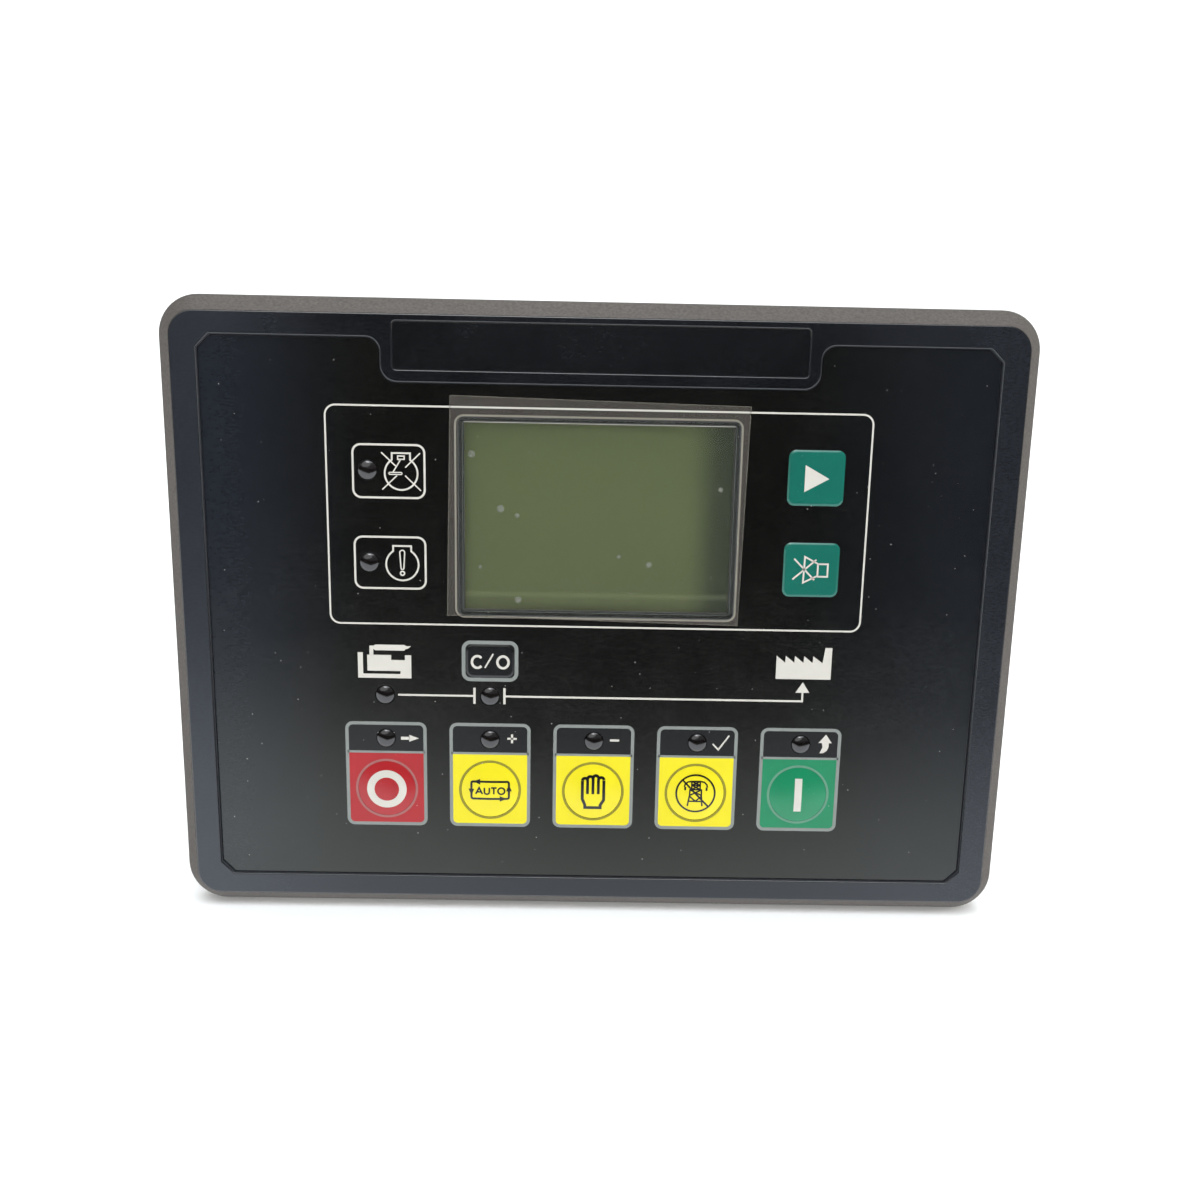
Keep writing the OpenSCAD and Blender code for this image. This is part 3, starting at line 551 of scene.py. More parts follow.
def plate(bm, loops, back, front, edge=0.0, slot=0, surface=None, edge_slot=None):
    """Plate from one level to another, with a rounded front edge that may have its own slot."""
    levels = [(back, 0.0), (front + edge, 0.0)]
    if edge:
        for i in range(1, EDGE_STEPS + 1):
            turn = math.radians(90 * i / EDGE_STEPS)
            levels.append((front + edge * (1 - math.sin(turn)), edge * (1 - math.cos(turn))))
        levels.append((front, edge + SUPPORT))
    sides = []
    for loop in loops:
        rings = []
        for level, step_in in levels:
            points = inset(loop, step_in) if step_in else loop
            rings.append([bm.verts.new((u, level + (surface(u, v) if surface else 0.0), v))
                          for u, v in points])
        wall(bm, rings[:2], slot)
        wall(bm, rings[1:], slot if edge_slot is None else edge_slot)
        sides.append(rings)
    cap(bm, [rings[0] for rings in sides], slot)
    cap(bm, [rings[-1] for rings in sides], slot)


print("a rounded edge has", EDGE_STEPS, "steps")

# %% Stroke helper
STROKE_STEP = 0.8
# How far a mark reaches into what it is printed on
SINK = 0.01


def stroke(bm, path, width, lift, slot, surface=flat, closed=False):
    """Printed line of even width along a path."""
    fine = []
    ends = path + path[:1] if closed else path
    for a, b in zip(ends, ends[1:]):
        pieces = max(1, math.ceil(math.dist(a, b) / STROKE_STEP))
        fine += [(a[0] + (b[0] - a[0]) * i / pieces, a[1] + (b[1] - a[1]) * i / pieces)
                 for i in range(pieces)]
    if not closed:
        fine.append(path[-1])
    rails = []
    for i, point in enumerate(fine):
        here = Vector(point)
        before = here - Vector(fine[i - 1]) if closed or i else Vector(fine[1]) - here
        after = Vector(fine[(i + 1) % len(fine)]) - here if closed or i + 1 < len(fine) else before
        before, after = before.normalized(), after.normalized()
        left = Vector((-before.y - after.y, before.x + after.x)) / (1 + before.dot(after))
        rails.append([here + left * width / 2, here - left * width / 2])
    verts = [[bm.verts.new((p.x, surface(p.x, p.y) + level, p.y)) for p, level in
              ((l, -lift), (r, -lift), (r, SINK), (l, SINK))] for l, r in rails]
    for i in range(len(verts) if closed else len(verts) - 1):
        a, b = verts[i], verts[(i + 1) % len(verts)]
        for k in range(4):
            bm.faces.new((a[k], a[(k + 1) % 4], b[(k + 1) % 4], b[k])).material_index = slot
    if not closed:
        bm.faces.new(verts[0]).material_index = slot
        bm.faces.new(verts[-1][::-1]).material_index = slot


print("strokes have a point each", STROKE_STEP, "mm")

# %% Finished pieces
def finished(name, bm, materials, angle=35.0):
    """A piece at the origin: built in millimetres, kept in metres, smooth but for sharp edges."""
    bmesh.ops.recalc_face_normals(bm, faces=bm.faces)
    mesh = bpy.data.meshes.new(name)
    bm.to_mesh(mesh)
    bm.free()
    mesh.transform(Matrix.Scale(MM, 4))
    mesh.shade_smooth()
    mesh.set_sharp_from_angle(angle=math.radians(angle))
    for material in materials:
        mesh.materials.append(material)
    piece = bpy.data.objects.new(name, mesh)
    bpy.context.scene.collection.objects.link(piece)
    print(name, len(mesh.polygons), "faces")
    return piece


def settled(piece, slot, *nodes):
    """Rides the controller and stands for the nodes that are named; its slot is not used."""
    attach(piece, "controller")
    if nodes:
        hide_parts(*nodes)


print("piece helpers ready")

# %% [markdown]
# ## Border film and name strip
# The border film covers the raised rim of the bezel and hangs into the recess as a tab, which has a
# pocket for the name strip. Its inner outline follows the recess, with a small gap all round.

# %% Cut the border film
RECESS_W, RECESS_H, RECESS_CUT = 97.5, 69.5, 3.2
TAB_W, TAB_LOW, TAB_R, TAB_FILLET = 53.5, 58.9, 4.0, 3.5
BORDER_R, POCKET_R, STRIP_R = 6.05, 1.0, 0.85
FILM_GAP, BORDER_EDGE, STRIP_EDGE = 0.15, 0.2, 0.08


def recess_outline(gap):
    """Outline of the recess, made smaller by a gap, with the tab that hangs into it."""
    w, h, c = RECESS_W - gap, RECESS_H - gap, RECESS_CUT
    side, low = TAB_W + gap, TAB_LOW - gap
    right_tab = (arc(side + TAB_FILLET, h - TAB_FILLET, TAB_FILLET, 90, 180)
                 + arc(side - TAB_R, low + TAB_R, TAB_R, 0, -90))
    left_tab = [(-u, v) for u, v in right_tab[::-1]]
    corners = [(c - w, -h), (w - c, -h), (w, c - h), (w, h - c), (w - c, h)]
    return corners + right_tab + left_tab + [(c - w, h), (-w, h - c), (-w, c - h)]


strip_w, strip_h = span("name_strip")
strip_at = centre("name_strip")
pocket = round_box(*strip_at, strip_w + 2 * FILM_GAP, strip_h + 2 * FILM_GAP, POCKET_R)
border = [round_box(0, 0, *span("surround_film"), BORDER_R, 12), hole(recess_outline(-FILM_GAP)),
          hole(pocket)]
bm = bmesh.new()
# The rounded cut edge of the border film takes the painted highlight
plate(bm, border, BORDER_BACK, BORDER_FRONT, BORDER_EDGE, edge_slot=1)
border_film = finished("border_film", bm, [BORDER_FILM, FILM_EDGE_HIGHLIGHT])
settled(border_film, "border_film", "surround_film")

strip_front, strip_back = (corner.y for corner in box_mm("name_strip"))
bm = bmesh.new()
plate(bm, [round_box(*strip_at, strip_w, strip_h, STRIP_R)], strip_back, strip_front, STRIP_EDGE)
name_strip = finished("blank_name_strip", bm, [STRIP_FILM])
settled(name_strip, "strip_film", "name_strip")

# %% [markdown]
# ## Keypad film and embossed keys
# The keypad is one film in the real object, with keys pressed up into it. Here each key is a piece
# of its own that starts at the film's face, apart from the film round it. The joint of a round key
# runs along its printed ring, where it reads as part of the line. A round key is a shallow dome, and
# a square one is a pad with a soft slope.

# %% Sizes of the embossed keys
DOME_R, PAD_R = 7.45, 1.8
PADS = {"changeover": (12.2, 8.6), "scroll": (14.0, 13.8), "mute": (14.0, 13.8)}
PAD_RISE = {"changeover": 0.18, "scroll": 0.35, "mute": 0.35}
LENS_R = 2.425
WINDOW_GAP, OPENING_R = 0.1, 1.7
WINDOW_AT, WINDOW = centre("display_window"), span("display_window")


def key_outline(key):
    """Outline of an embossed key where it meets the film."""
    if key in ROUND_KEYS:
        return circle(*KEY_AT[key], DOME_R)
    return round_box(*KEY_AT[key], *PADS[key], PAD_R)


def lamp_hole(lamp):
    """Opening for a lamp window."""
    return hole(circle(*LAMP_AT[lamp], LENS_R + WINDOW_GAP, 40))


def window_box(more, r):
    """The display window's outline, with that much more width and height."""
    return round_box(*WINDOW_AT, WINDOW[0] + more, WINDOW[1] + more, r)


print("window", [round(s, 1) for s in WINDOW])

# %% Cut the keypad film
KEYPAD_EDGE = 0.06
opening = hole(window_box(2 * WINDOW_GAP, OPENING_R))
film_holes = [hole(key_outline(key)) for key in KEYS] + [lamp_hole(lamp) for lamp in LAMPS]
bm = bmesh.new()
plate(bm, [recess_outline(FILM_GAP), *film_holes, opening], RECESS_FLOOR, FACE, KEYPAD_EDGE)
keypad = finished("keypad_film", bm, [KEYPAD_FILM])
settled(keypad, "keypad_film", "keypad_overlay")

# %% [markdown]
# ## Signs on the keys
# The signs are the usual ones for such a controller: a circle for stop, a loop with arrows for
# automatic, a hand for manual, a crossed-out pylon for a test without load, a bar for start, a
# triangle to scroll, a crossed-out horn to mute, and a changeover mark. Each is made of strokes and
# small plates in the key's own coordinates, and is laid on the key's surface.

# %% Letters and arrows
def letter(shape, u, v, w, h):
    """Strokes of a plain capital letter in a box of that size, from its lower left corner."""
    strokes = {
        "A": [[(0, 0), (0.5, 1), (1, 0)], [(0.2, 0.34), (0.8, 0.34)]],
        "U": [[(0, 1), (0, 0.36)] + [(a, 0.36 + 0.72 * (b - 0.5)) for a, b in
                                     arc(0.5, 0.5, 0.5, 195, 345, 10)] + [(1, 0.36), (1, 1)]],
        "T": [[(0, 1), (1, 1)], [(0.5, 1), (0.5, 0)]],
        "O": [arc(0.5, 0.5, 0.5, 0, 360, 36)],
        "C": [[(1.08 * a, b) for a, b in arc(0.5, 0.5, 0.5, 42, 318, 23)]],
        "/": [[(0, 0), (1, 1)]],
    }[shape]
    return [[(u + a * w, v + b * h) for a, b in path] for path in strokes]


def arrow_head(tip, angle, length, width):
    """Triangle with its tip at a point, turned to an angle in degrees."""
    c, s = math.cos(math.radians(angle)), math.sin(math.radians(angle))
    base = Vector(tip) - length * Vector((c, s))
    across = Vector((-s, c)) * width / 2
    return [tip, tuple(base + across), tuple(base - across)]


print("letters and arrows ready")

# %% Draw the signs
LOOP_W, LOOP_H = 9.8, 4.7
LOOP_ARROWS = (((-4.4, LOOP_H / 2), 180), ((-4.85, -1.5), 270), ((4.4, -LOOP_H / 2), 0),
               ((4.95, 1.6), 90))
AUTO_LETTERS = (("A", -3.7, 1.75), ("U", -1.45, 1.3), ("T", 0.3, 1.45), ("O", 2.1, 1.75))
HAND = [(-2.75, 3.0), (-2.75, -2.0), (-2.05, -3.6), (-2.05, -4.4), (2.0, -4.4), (2.0, -3.6),
        (2.85, -2.2), (2.85, 3.2)]
FINGER_TIPS = ((-2.08, 3.05, 0.68), (-0.69, 3.55, 0.7), (0.72, 3.8, 0.7), (2.15, 3.3, 0.7))
FINGER_GAPS = ((-1.4, 3.15), (0.02, 3.6), (1.43, 3.4))
PYLON = [
    [(-1.05, 3.35), (-1.05, 1.15), (-1.5, 1.05), (-1.55, -0.4), (-2.05, -3.5)],
    [(1.15, 3.35), (1.15, 1.15), (1.5, 1.05), (1.55, -0.4), (1.8, -3.5)],
    [(-1.95, -2.15), (1.75, -2.15)], [(-1.05, 3.35), (1.15, 3.35)], [(-1.05, 2.3), (1.15, 2.3)],
    [(-1.5, 1.1), (1.5, 1.1)], [(-1.05, 3.35), (1.15, 2.3)], [(1.15, 3.35), (-1.05, 2.3)],
    [(-1.05, 2.3), (1.15, 1.15)], [(1.15, 2.3), (-1.05, 1.15)], [(-1.5, 1.05), (1.55, -0.5)],
    [(1.5, 1.05), (-1.55, -0.5)], [(-1.6, -0.7), (0.0, -2.1), (1.6, -0.7)],
    [(-1.05, 3.35), (-2.1, 3.15), (-2.8, 2.5), (-2.95, 1.8)],
    [(1.15, 3.35), (2.2, 3.15), (2.9, 2.45), (3.05, 1.7)],
]
INSULATORS = ([(-2.75, 1.8), (-2.75, 0.9)], [(2.85, 1.7), (2.85, 0.8)])
HORN = [(-1.7, 3.4), (1.65, 1.65), (1.65, -1.4), (-1.9, -3.2)]
HORN_BACK = [(1.65, 1.6), (4.15, 1.6), (4.15, -1.6), (1.65, -1.6)]


def lines(width, *paths, closed=False):
    """Strokes of one width for a sign; a width of 0 fills the outlines."""
    return [(path, width, closed) for path in paths]


SIGNS = {
    "stop": lines(1.95, circle(0, -0.1, 4.18), closed=True),
    "automatic": lines(0.56, round_box(0.05, 0.0, LOOP_W, LOOP_H, 0.5, 4), closed=True)
    + lines(0, *[arrow_head(tip, angle, 1.85, 1.5) for tip, angle in LOOP_ARROWS])
    + lines(0.43, *[path for shape, left, width in AUTO_LETTERS
                    for path in letter(shape, left, -1.05, width, 1.75)]),
    "manual": lines(0.78, HAND) + lines(0.74, *[[(u, top), (u, -0.55)] for u, top in FINGER_GAPS])
    + lines(0.76, *[arc(*tip, 0, 180, 10) for tip in FINGER_TIPS])
    + lines(0.78, [(-2.35, -4.4), (2.3, -4.4)]),
    "test": lines(0.48, circle(0, 0, 5.05), closed=True) + lines(0.48, [(-3.4, 3.6), (3.4, -3.6)])
    + lines(0.4, *PYLON) + lines(0.5, *INSULATORS),
    "start": lines(1.9, [(0, -4.6), (0, 4.5)]),
    "changeover": lines(0.64, *letter("C", -4.6, -1.75, 2.55, 3.1))
    + lines(0.42, *letter("/", -1.3, -1.75, 2.1, 3.7))
    + lines(0.64, *letter("O", 1.9, -1.75, 2.85, 3.1)),
    "scroll": lines(0, [(-2.85, 3.25), (-2.85, -3.45), (3.2, -0.1)]),
    "mute": lines(0.42, HORN, closed=True)
    + lines(0.42, HORN_BACK, [(-4.4, 2.9), (0.9, -2.5)], [(1.2, 2.7), (-4.6, -2.4)]),
}
# Ink of each key, and of the sign on it
KEY_INKS = {
    "stop": ("red", "white"), "automatic": ("yellow", "black"), "manual": ("yellow", "black"),
    "test": ("yellow", "black"), "start": ("green", "white"), "changeover": ("black", "white"),
    "scroll": ("teal", "white"), "mute": ("teal", "white"),
}
print("signs:", {key: len(strokes) for key, strokes in SIGNS.items()})

# %% Emboss the keys
DOME_RISE, DOME_RINGS = FACE - DOME_TOP, 14
FILM_T, PAD_SEAT, SIGN_LIFT = RECESS_FLOOR - FACE, 0.05, 0.035
# A pad's slope: how far in from its outline, and the share of its rise there
PAD_SLOPE = [(0.0, 0.0), (0.08, 0.14), (0.2, 0.43), (0.33, 0.77), (0.46, 0.94), (0.62, 1.0),
             (0.74, 1.0)]


def key_surface(key):
    """Front surface of a key: a shallow dome, or the flat top of a pad."""
    if key not in ROUND_KEYS:
        return level(FACE - PAD_RISE[key])

    def dome(u, v):
        return FACE - DOME_RISE * max(0.0, 1 - math.dist((u, v), KEY_AT[key]) ** 2 / DOME_R ** 2)

    return dome


def key_rings(key):
    """Rings of points over a dome's shell, or over a pad with a soft slope."""
    surface = key_surface(key)
    if key in ROUND_KEYS:
        radii = [DOME_R * (i + 0.25) / DOME_RINGS for i in range(DOME_RINGS)] + [DOME_R]
        shell = [(r, FILM_T) for r in radii] + [(r, 0.0) for r in radii[::-1]]
        return [[(a, surface(a, b) + deep, b) for a, b in circle(*KEY_AT[key], r)]
                for r, deep in shell]
    outline = key_outline(key)
    slope = [[(a, FACE - share * PAD_RISE[key], b) for a, b in inset(outline, step_in)]
             for step_in, share in PAD_SLOPE]
    return [[(a, RECESS_FLOOR - PAD_SEAT, b) for a, b in outline]] + slope


for key in KEYS:
    bm = bmesh.new()
    key_slot, sign_slot = (INK_SLOT[colour] for colour in KEY_INKS[key])
    verts = [[bm.verts.new(point) for point in ring] for ring in key_rings(key)]
    wall(bm, verts, key_slot)
    for ring in (verts[0], verts[-1]):
        bm.faces.new(ring).material_index = key_slot
    u, v = KEY_AT[key]
    for points, width, closed in SIGNS[key]:
        if width:
            stroke(bm, shifted(points, u, v), width, SIGN_LIFT, sign_slot, key_surface(key), closed)
        else:
            plate(bm, [shifted(points, u, v)], SINK, -SIGN_LIFT, 0.0, sign_slot, key_surface(key))
    piece = finished(key + "_key_face", bm, INKS.values())
    settled(piece, "keypad_film")
    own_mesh(piece)

# %% [markdown]
# ## Printed marks on the film
# The rest of the print is flat: a frame round the display, two fault boxes with engine signs, the
# line from the generator to the load, and a tile round each control key. Each ink is its own thin
# layer, as in screen printing, and later layers lie a little higher so that they never flicker.

# %% Tiles round the control keys
LAYER = 0.02
TILE_W, TILE_TOP, TILE_LOW, TILE_R = 21.0, -27.3, -55.7, 2.0
TILE_LINE, DIVIDER_V, DIVIDER_LINE = 0.85, -35.5, 0.6
RING_R, DOME_GAP = 8.1, 0.15
# Width and ink of the ring on a key, by the key's own ink
RINGS = {"red": (0.6, "rose"), "yellow": (0.45, "olive"), "green": (0.6, "sage")}
marks = bmesh.new()


def line(path, width, colour="white", layer=2.0, closed=False):
    """Printed line on the film; a higher layer of ink lies over a lower one."""
    stroke(marks, path, width, layer * LAYER, INK_SLOT[colour], closed=closed)


def fill(loops, colour="white", layer=2.0):
    """Printed area on the film."""
    plate(marks, loops, SINK, -layer * LAYER, 0.0, INK_SLOT[colour], flat)


half, low, top = (TILE_W - TILE_LINE) / 2, TILE_LOW + TILE_LINE / 2, TILE_TOP - TILE_LINE / 2
r = TILE_R - TILE_LINE / 2
for key in ROUND_KEYS:
    u, v = KEY_AT[key]
    colour = KEY_INKS[key][0]
    field = (arc(u - half + r, low + r, r, 180, 270) + arc(u + half - r, low + r, r, 270, 360)
             + [(u + half, DIVIDER_V), (u - half, DIVIDER_V)])
    head = (arc(u + half - r, top - r, r, 0, 90) + arc(u - half + r, top - r, r, 90, 180)
            + [(u - half, DIVIDER_V), (u + half, DIVIDER_V)])
    fill([field, hole(circle(u, v, DOME_R + DOME_GAP))], colour, 1.0)
    fill([head, lamp_hole(key)], "black", 1.0)
    line(round_box(u, (top + low) / 2, 2 * half, top - low, r), TILE_LINE, "grey", closed=True)
    line([(u - half, DIVIDER_V), (u + half, DIVIDER_V)], DIVIDER_LINE, "grey")
    ring_line, ring_ink = RINGS[colour]
    line(circle(u, v, RING_R - ring_line / 2), ring_line, ring_ink, 2.5, closed=True)
print("tiles:", len(ROUND_KEYS))

# %% Small signs beside the key lamps
ARROW_V = LAMP_AT["stop"][1]
PLUS = ([(-22.4, -31.4), (-20.0, -31.4)], [(-21.2, -30.2), (-21.2, -32.6)])
MINUS = [(4.2, -31.4), (6.6, -31.4)]
TICK = [(30.9, -31.9), (32.4, -33.5), (35.1, -29.6)]
RISE_ARROW = [(60.3, -28.9), (58.4, -31.2), (59.3, -31.2), (59.55, -32.3), (59.2, -33.2),
              (58.8, -34.0), (59.8, -33.95), (60.7, -33.3), (61.1, -32.4), (61.15, -31.2),
              (61.9, -31.2)]
line([(-49.95, ARROW_V), (-47.6, ARROW_V)], 0.8)
fill([arrow_head((-45.3, ARROW_V), 0, 2.5, 1.85)])
for path in PLUS:
    line(path, 0.55)
line(MINUS, 0.6)
line(TICK, 0.42)
fill([RISE_ARROW])
print("small signs: 5")

# %% Frame, fault boxes and engine signs
PANEL_FRAME = round_box(-0.05, 26.0, 134.3, 54.6, 2.5)
# Painted highlight of the display pane's bevel: a warm grey line round the window
WINDOW_BEVEL_HIGHLIGHT = round_box(WINDOW_AT[0] - 0.18, WINDOW_AT[1] + 0.1, WINDOW[0] + 0.95, WINDOW[1] + 0.62,
                         2.1)
CHANGEOVER_FRAME = round_box(*KEY_AT["changeover"], 13.5, 9.8, 1.8)
FAULT_BOXES = [round_box(-51.86, v, 17.65, 13.05, 2.0) for v in (37.3, 14.4)]
SHUTDOWN_AT, WARNING_AT = (-48.8, 36.8), (-48.85, 14.0)
ENGINE_R, CAP_W, ENGINE_LINE, THIN_LINE = 4.05, 2.25, 0.43, 0.32
CROSS = [[(-4.85, 5.15), (-1.27, 1.79)], [(4.7, 5.07), (1.04, 1.49)],
         [(-1.04, -0.52), (-4.7, -4.03)], [(0.97, -0.52), (4.85, -4.18)], [(-0.1, 3.4), (-2.0, 0.3)]]
FILLER_CAP = [(-0.8, 3.5), (0.8, 3.5), (0.8, 4.3), (-0.8, 4.3)]
DIPSTICK = round_box(-1.4, 0.0, 3.2, 0.5, 0.24)
CALL_MARK = arc(0, 3.0, 0.62, 0, 180, 10) + arc(0, -0.9, 0.36, 180, 360, 8)
CALL_DOT = circle(0, -2.24, 0.5, 24)

line(PANEL_FRAME, 0.44, closed=True)
# Painted highlight round the display window, not print
line(WINDOW_BEVEL_HIGHLIGHT, 0.48, "bevel_highlight", closed=True)
line(CHANGEOVER_FRAME, 0.95, "grey", closed=True)
for path in FAULT_BOXES:
    line(path, 0.5, closed=True)
mouth = math.degrees(math.acos(CAP_W / ENGINE_R))
for (u, v), top in ((SHUTDOWN_AT, 5.0), (WARNING_AT, 4.7)):
    body = arc(u, v, ENGINE_R, 180 - mouth, 360 + mouth, 48)
    line(body + [(u + CAP_W, v + top), (u - CAP_W, v + top)], ENGINE_LINE, closed=True)
for path in CROSS:
    line(shifted(path, *SHUTDOWN_AT), THIN_LINE, layer=3.0)
line(shifted(FILLER_CAP, *SHUTDOWN_AT), THIN_LINE, layer=3.0, closed=True)
line(shifted(DIPSTICK, *SHUTDOWN_AT), 0.26, layer=3.0, closed=True)
line(shifted(CALL_MARK, *WARNING_AT), THIN_LINE, layer=3.0, closed=True)
line(shifted(CALL_DOT, *WARNING_AT), 0.36, layer=3.0, closed=True)
print("fault boxes:", len(FAULT_BOXES))

# %% Line from the generator to the load
WIRE_V, BREAKER_ENDS, LOAD_U = -20.0, (-30.9, -23.2), 53.5
GENERATOR = [(-58.2, -9.5), (-58.2, -13.7), (-49.8, -13.7), (-49.8, -14.5), (-59.3, -14.5),
             (-59.3, -8.9), (-60.6, -8.9), (-60.6, -15.6), (-47.0, -15.6), (-47.0, -9.5),
             (-48.6, -9.5), (-48.6, -10.8), (-52.1, -10.8), (-52.1, -9.5)]
EXHAUST = [(-57.6, -9.6), (-57.6, -7.1), (-56.5, -7.1), (-56.1, -6.8), (-48.7, -6.8), (-48.3, -7.1),
           (-47.0, -7.1), (-47.9, -7.85), (-48.4, -7.85), (-48.7, -8.3), (-56.1, -8.3),
           (-56.6, -7.95), (-56.6, -9.6)]
SAW_ROOF = [point for i in range(5)
            for point in ((55.75 - 2.35 * i, -7.95), (55.65 - 2.35 * i, -9.75))]
FACTORY = [(46.35, -14.1), (60.5, -14.1), (60.5, -5.7), (58.75, -5.7), (58.2, -9.75)] + SAW_ROOF[:-1]


def anticlockwise(loop):
    area = sum(a[0] * b[1] - b[0] * a[1] for a, b in zip(loop, loop[1:] + loop[:1]))
    return loop if area > 0 else loop[::-1]


line([(-50.5, WIRE_V), (BREAKER_ENDS[0], WIRE_V)], 0.5)
for u in BREAKER_ENDS:
    line([(u, WIRE_V + 2.2), (u, WIRE_V - 2.1)], 0.6, layer=2.5)
line([(BREAKER_ENDS[1], WIRE_V), (LOAD_U, WIRE_V), (LOAD_U, -17.6)], 0.5)
fill([arrow_head((LOAD_U - 0.05, -14.9), 90, 2.8, 3.6)], layer=2.5)
for shape in (GENERATOR, EXHAUST, FACTORY):
    fill([anticlockwise(shape)])
settled(finished("printed_marks", marks, INKS.values()), "keypad_film")

# %% [markdown]
# ## Display window and peel-off film
# The pane sits flush in the keypad, with a black mask printed behind its rim and a small bevel that
# catches the light; thin white and grey lines on the mask are painted highlights of the opening's
# edge. The peel-off film of a new unit is still on it, a little askew. A cloth simulation would be
# wasted on so stiff and thin a sheet, so it is a plate with a lighter cut edge.
# Its margin doesn't cling to the keypad, and the light trapped there is painted as a thin layer of
# its own.

# %% Cut the pane and its mask
PANE_R, PANE_EDGE = 1.6, 0.35
MASK_T, MASK_RIM, MASK_EDGE, HIGHLIGHT_LIP = 0.06, 1.35, 0.02, 0.14
pane_back = box_mm("display_window")[1].y
mask_face = pane_back - MASK_T

bm = bmesh.new()
plate(bm, [window_box(0.0, PANE_R)], mask_face, FACE, PANE_EDGE)
for face in bm.faces:
    face.material_index = 0 if len({round(vert.co.y, 4) for vert in face.verts}) == 1 else 1
pane = finished("display_pane", bm, [ACRYLIC, ACRYLIC_RIM])
settled(pane, "clear_window", "display_window")

bm = bmesh.new()
plate(bm, [window_box(-0.1, 1.5), hole(window_box(-2 * MASK_RIM, 0.6))], pane_back, mask_face,
      MASK_EDGE)
# Painted highlights: a white line along the top of the opening and a grey ring inside the mask
side, top = WINDOW[0] / 2 - MASK_RIM, WINDOW_AT[1] + WINDOW[1] / 2 - MASK_RIM + HIGHLIGHT_LIP
stroke(bm, [(WINDOW_AT[0] - side, top), (WINDOW_AT[0] + side, top)], 0.13, 0.01, 1, level(mask_face))
stroke(bm, window_box(5 * HIGHLIGHT_LIP - 2 * MASK_RIM, 0.8), 0.06, 0.008, 2, level(mask_face), closed=True)
mask = finished("window_mask", bm, [INKS["black"], INKS["white"], INKS["grey"]])
settled(mask, "clear_window")

# %% Lay the peel-off film
PEEL_SIZE, PEEL_AT, PEEL_TURN = (73.7, 55.1), (-0.4, 27.9), math.radians(-1.1)
PEEL_RIM, PEEL_EDGE, PEEL_DIP, PEEL_LIFT = 0.18, 0.02, 0.01, 0.055


def peel_outline(margin):
    """Rectangle of the film as it was stuck on, made smaller by a margin."""
    c, s = math.cos(PEEL_TURN), math.sin(PEEL_TURN)
    w, h = (size / 2 - margin for size in PEEL_SIZE)
    corners = ((-w, -h), (w, -h), (w, h), (-w, h))
    return shifted([(a * c - b * s, a * s + b * c) for a, b in corners], *PEEL_AT)


peel_front, peel_back = (corner.y for corner in box_mm("screen_protector"))
inner = peel_outline(PEEL_RIM)
bm = bmesh.new()
plate(bm, [inner], peel_back - PEEL_LIFT, peel_front + PEEL_DIP)
plate(bm, [peel_outline(0.0), hole(inner)], peel_back - PEEL_LIFT, peel_front, PEEL_EDGE, 1)
peel = finished("peel_off_film", bm, [PEEL_FILM, CUT_EDGE])
settled(peel, "clear_film", "screen_protector")

# Painted light on the keypad under the film's margin, as a thin layer
bm = bmesh.new()
plate(bm, [inner, opening], FACE + SINK, FACE - 1.5 * LAYER)
settled(finished("peel_off_painted_light", bm, [MARGIN_PAINTED_LIGHT]), "clear_film")

# %% [markdown]
# ## Geometry Nodes for what repeats
# The lamp windows, pins, screws, bubbles and dust are the same shape many times. A loop in Python
# could copy them, but a node tree keeps one shape with named sizes and puts it on points, and the
# result is then turned into a plain mesh, because an export drops instances.

# %% Tree helpers
def new_tree(name, *sizes):
    """Geometry Nodes tree with named size inputs; returns the tree and its input node."""
    tree = bpy.data.node_groups.new(name, "GeometryNodeTree")
    tree.interface.new_socket("Geometry", in_out="INPUT", socket_type="NodeSocketGeometry")
    tree.interface.new_socket("Geometry", in_out="OUTPUT", socket_type="NodeSocketGeometry")
    for label in sizes:
        tree.interface.new_socket(label, in_out="INPUT", socket_type="NodeSocketFloat")
    return tree, add(tree, "NodeGroupInput")


def end_tree(tree, points, shape, material, scale=(1.0, 1.0, 1.0)):
    """Puts a shape on points, makes the copies real, sets the finish and leads to the output."""
    copies = add(tree, "GeometryNodeInstanceOnPoints",
                 {"Points": points, "Instance": shape, "Scale": scale})
    solid = add(tree, "GeometryNodeRealizeInstances", {0: copies})
    smooth = add(tree, "GeometryNodeSetShadeSmooth", {0: solid})
    dressed = add(tree, "GeometryNodeSetMaterial", {"Geometry": smooth, "Material": material})
    add(tree, "NodeGroupOutput", {0: dressed})


def seed_mesh(points, area=False):
    """Loose points in millimetres, or one face with these corners."""
    mesh = bpy.data.meshes.new("seeds")
    mesh.from_pydata([Vector(p) * MM for p in points], [], [range(len(points))] if area else [])
    return mesh


def grown(name, tree, seeds, values, angle=35.0):
    """Runs a tree on seeds and keeps the result as a plain mesh."""
    host = bpy.data.objects.new(name + "_host", seeds)
    bpy.context.scene.collection.objects.link(host)
    modifier = host.modifiers.new("grow", "NODES")
    modifier.node_group = tree
    for socket in tree.interface.items_tree:
        if socket.name in values:
            modifier[socket.identifier] = values[socket.name]
    ready = host.evaluated_get(bpy.context.evaluated_depsgraph_get())
    mesh = bpy.data.meshes.new_from_object(ready)
    bpy.data.objects.remove(host)
    mesh.name = name
    mesh.set_sharp_from_angle(angle=math.radians(angle))
    piece = bpy.data.objects.new(name, mesh)
    bpy.context.scene.collection.objects.link(piece)
    print(name, len(mesh.polygons), "faces")
    return piece


print("tree helpers ready")

# %% [markdown]
# ## Lamp windows
# Each lamp window is the domed end of a light guide that reaches back to its lamp on the board. A
# ball is stretched by a different amount in front of and behind its middle, which gives a domed
# front and a long bullet behind with one smooth skin.

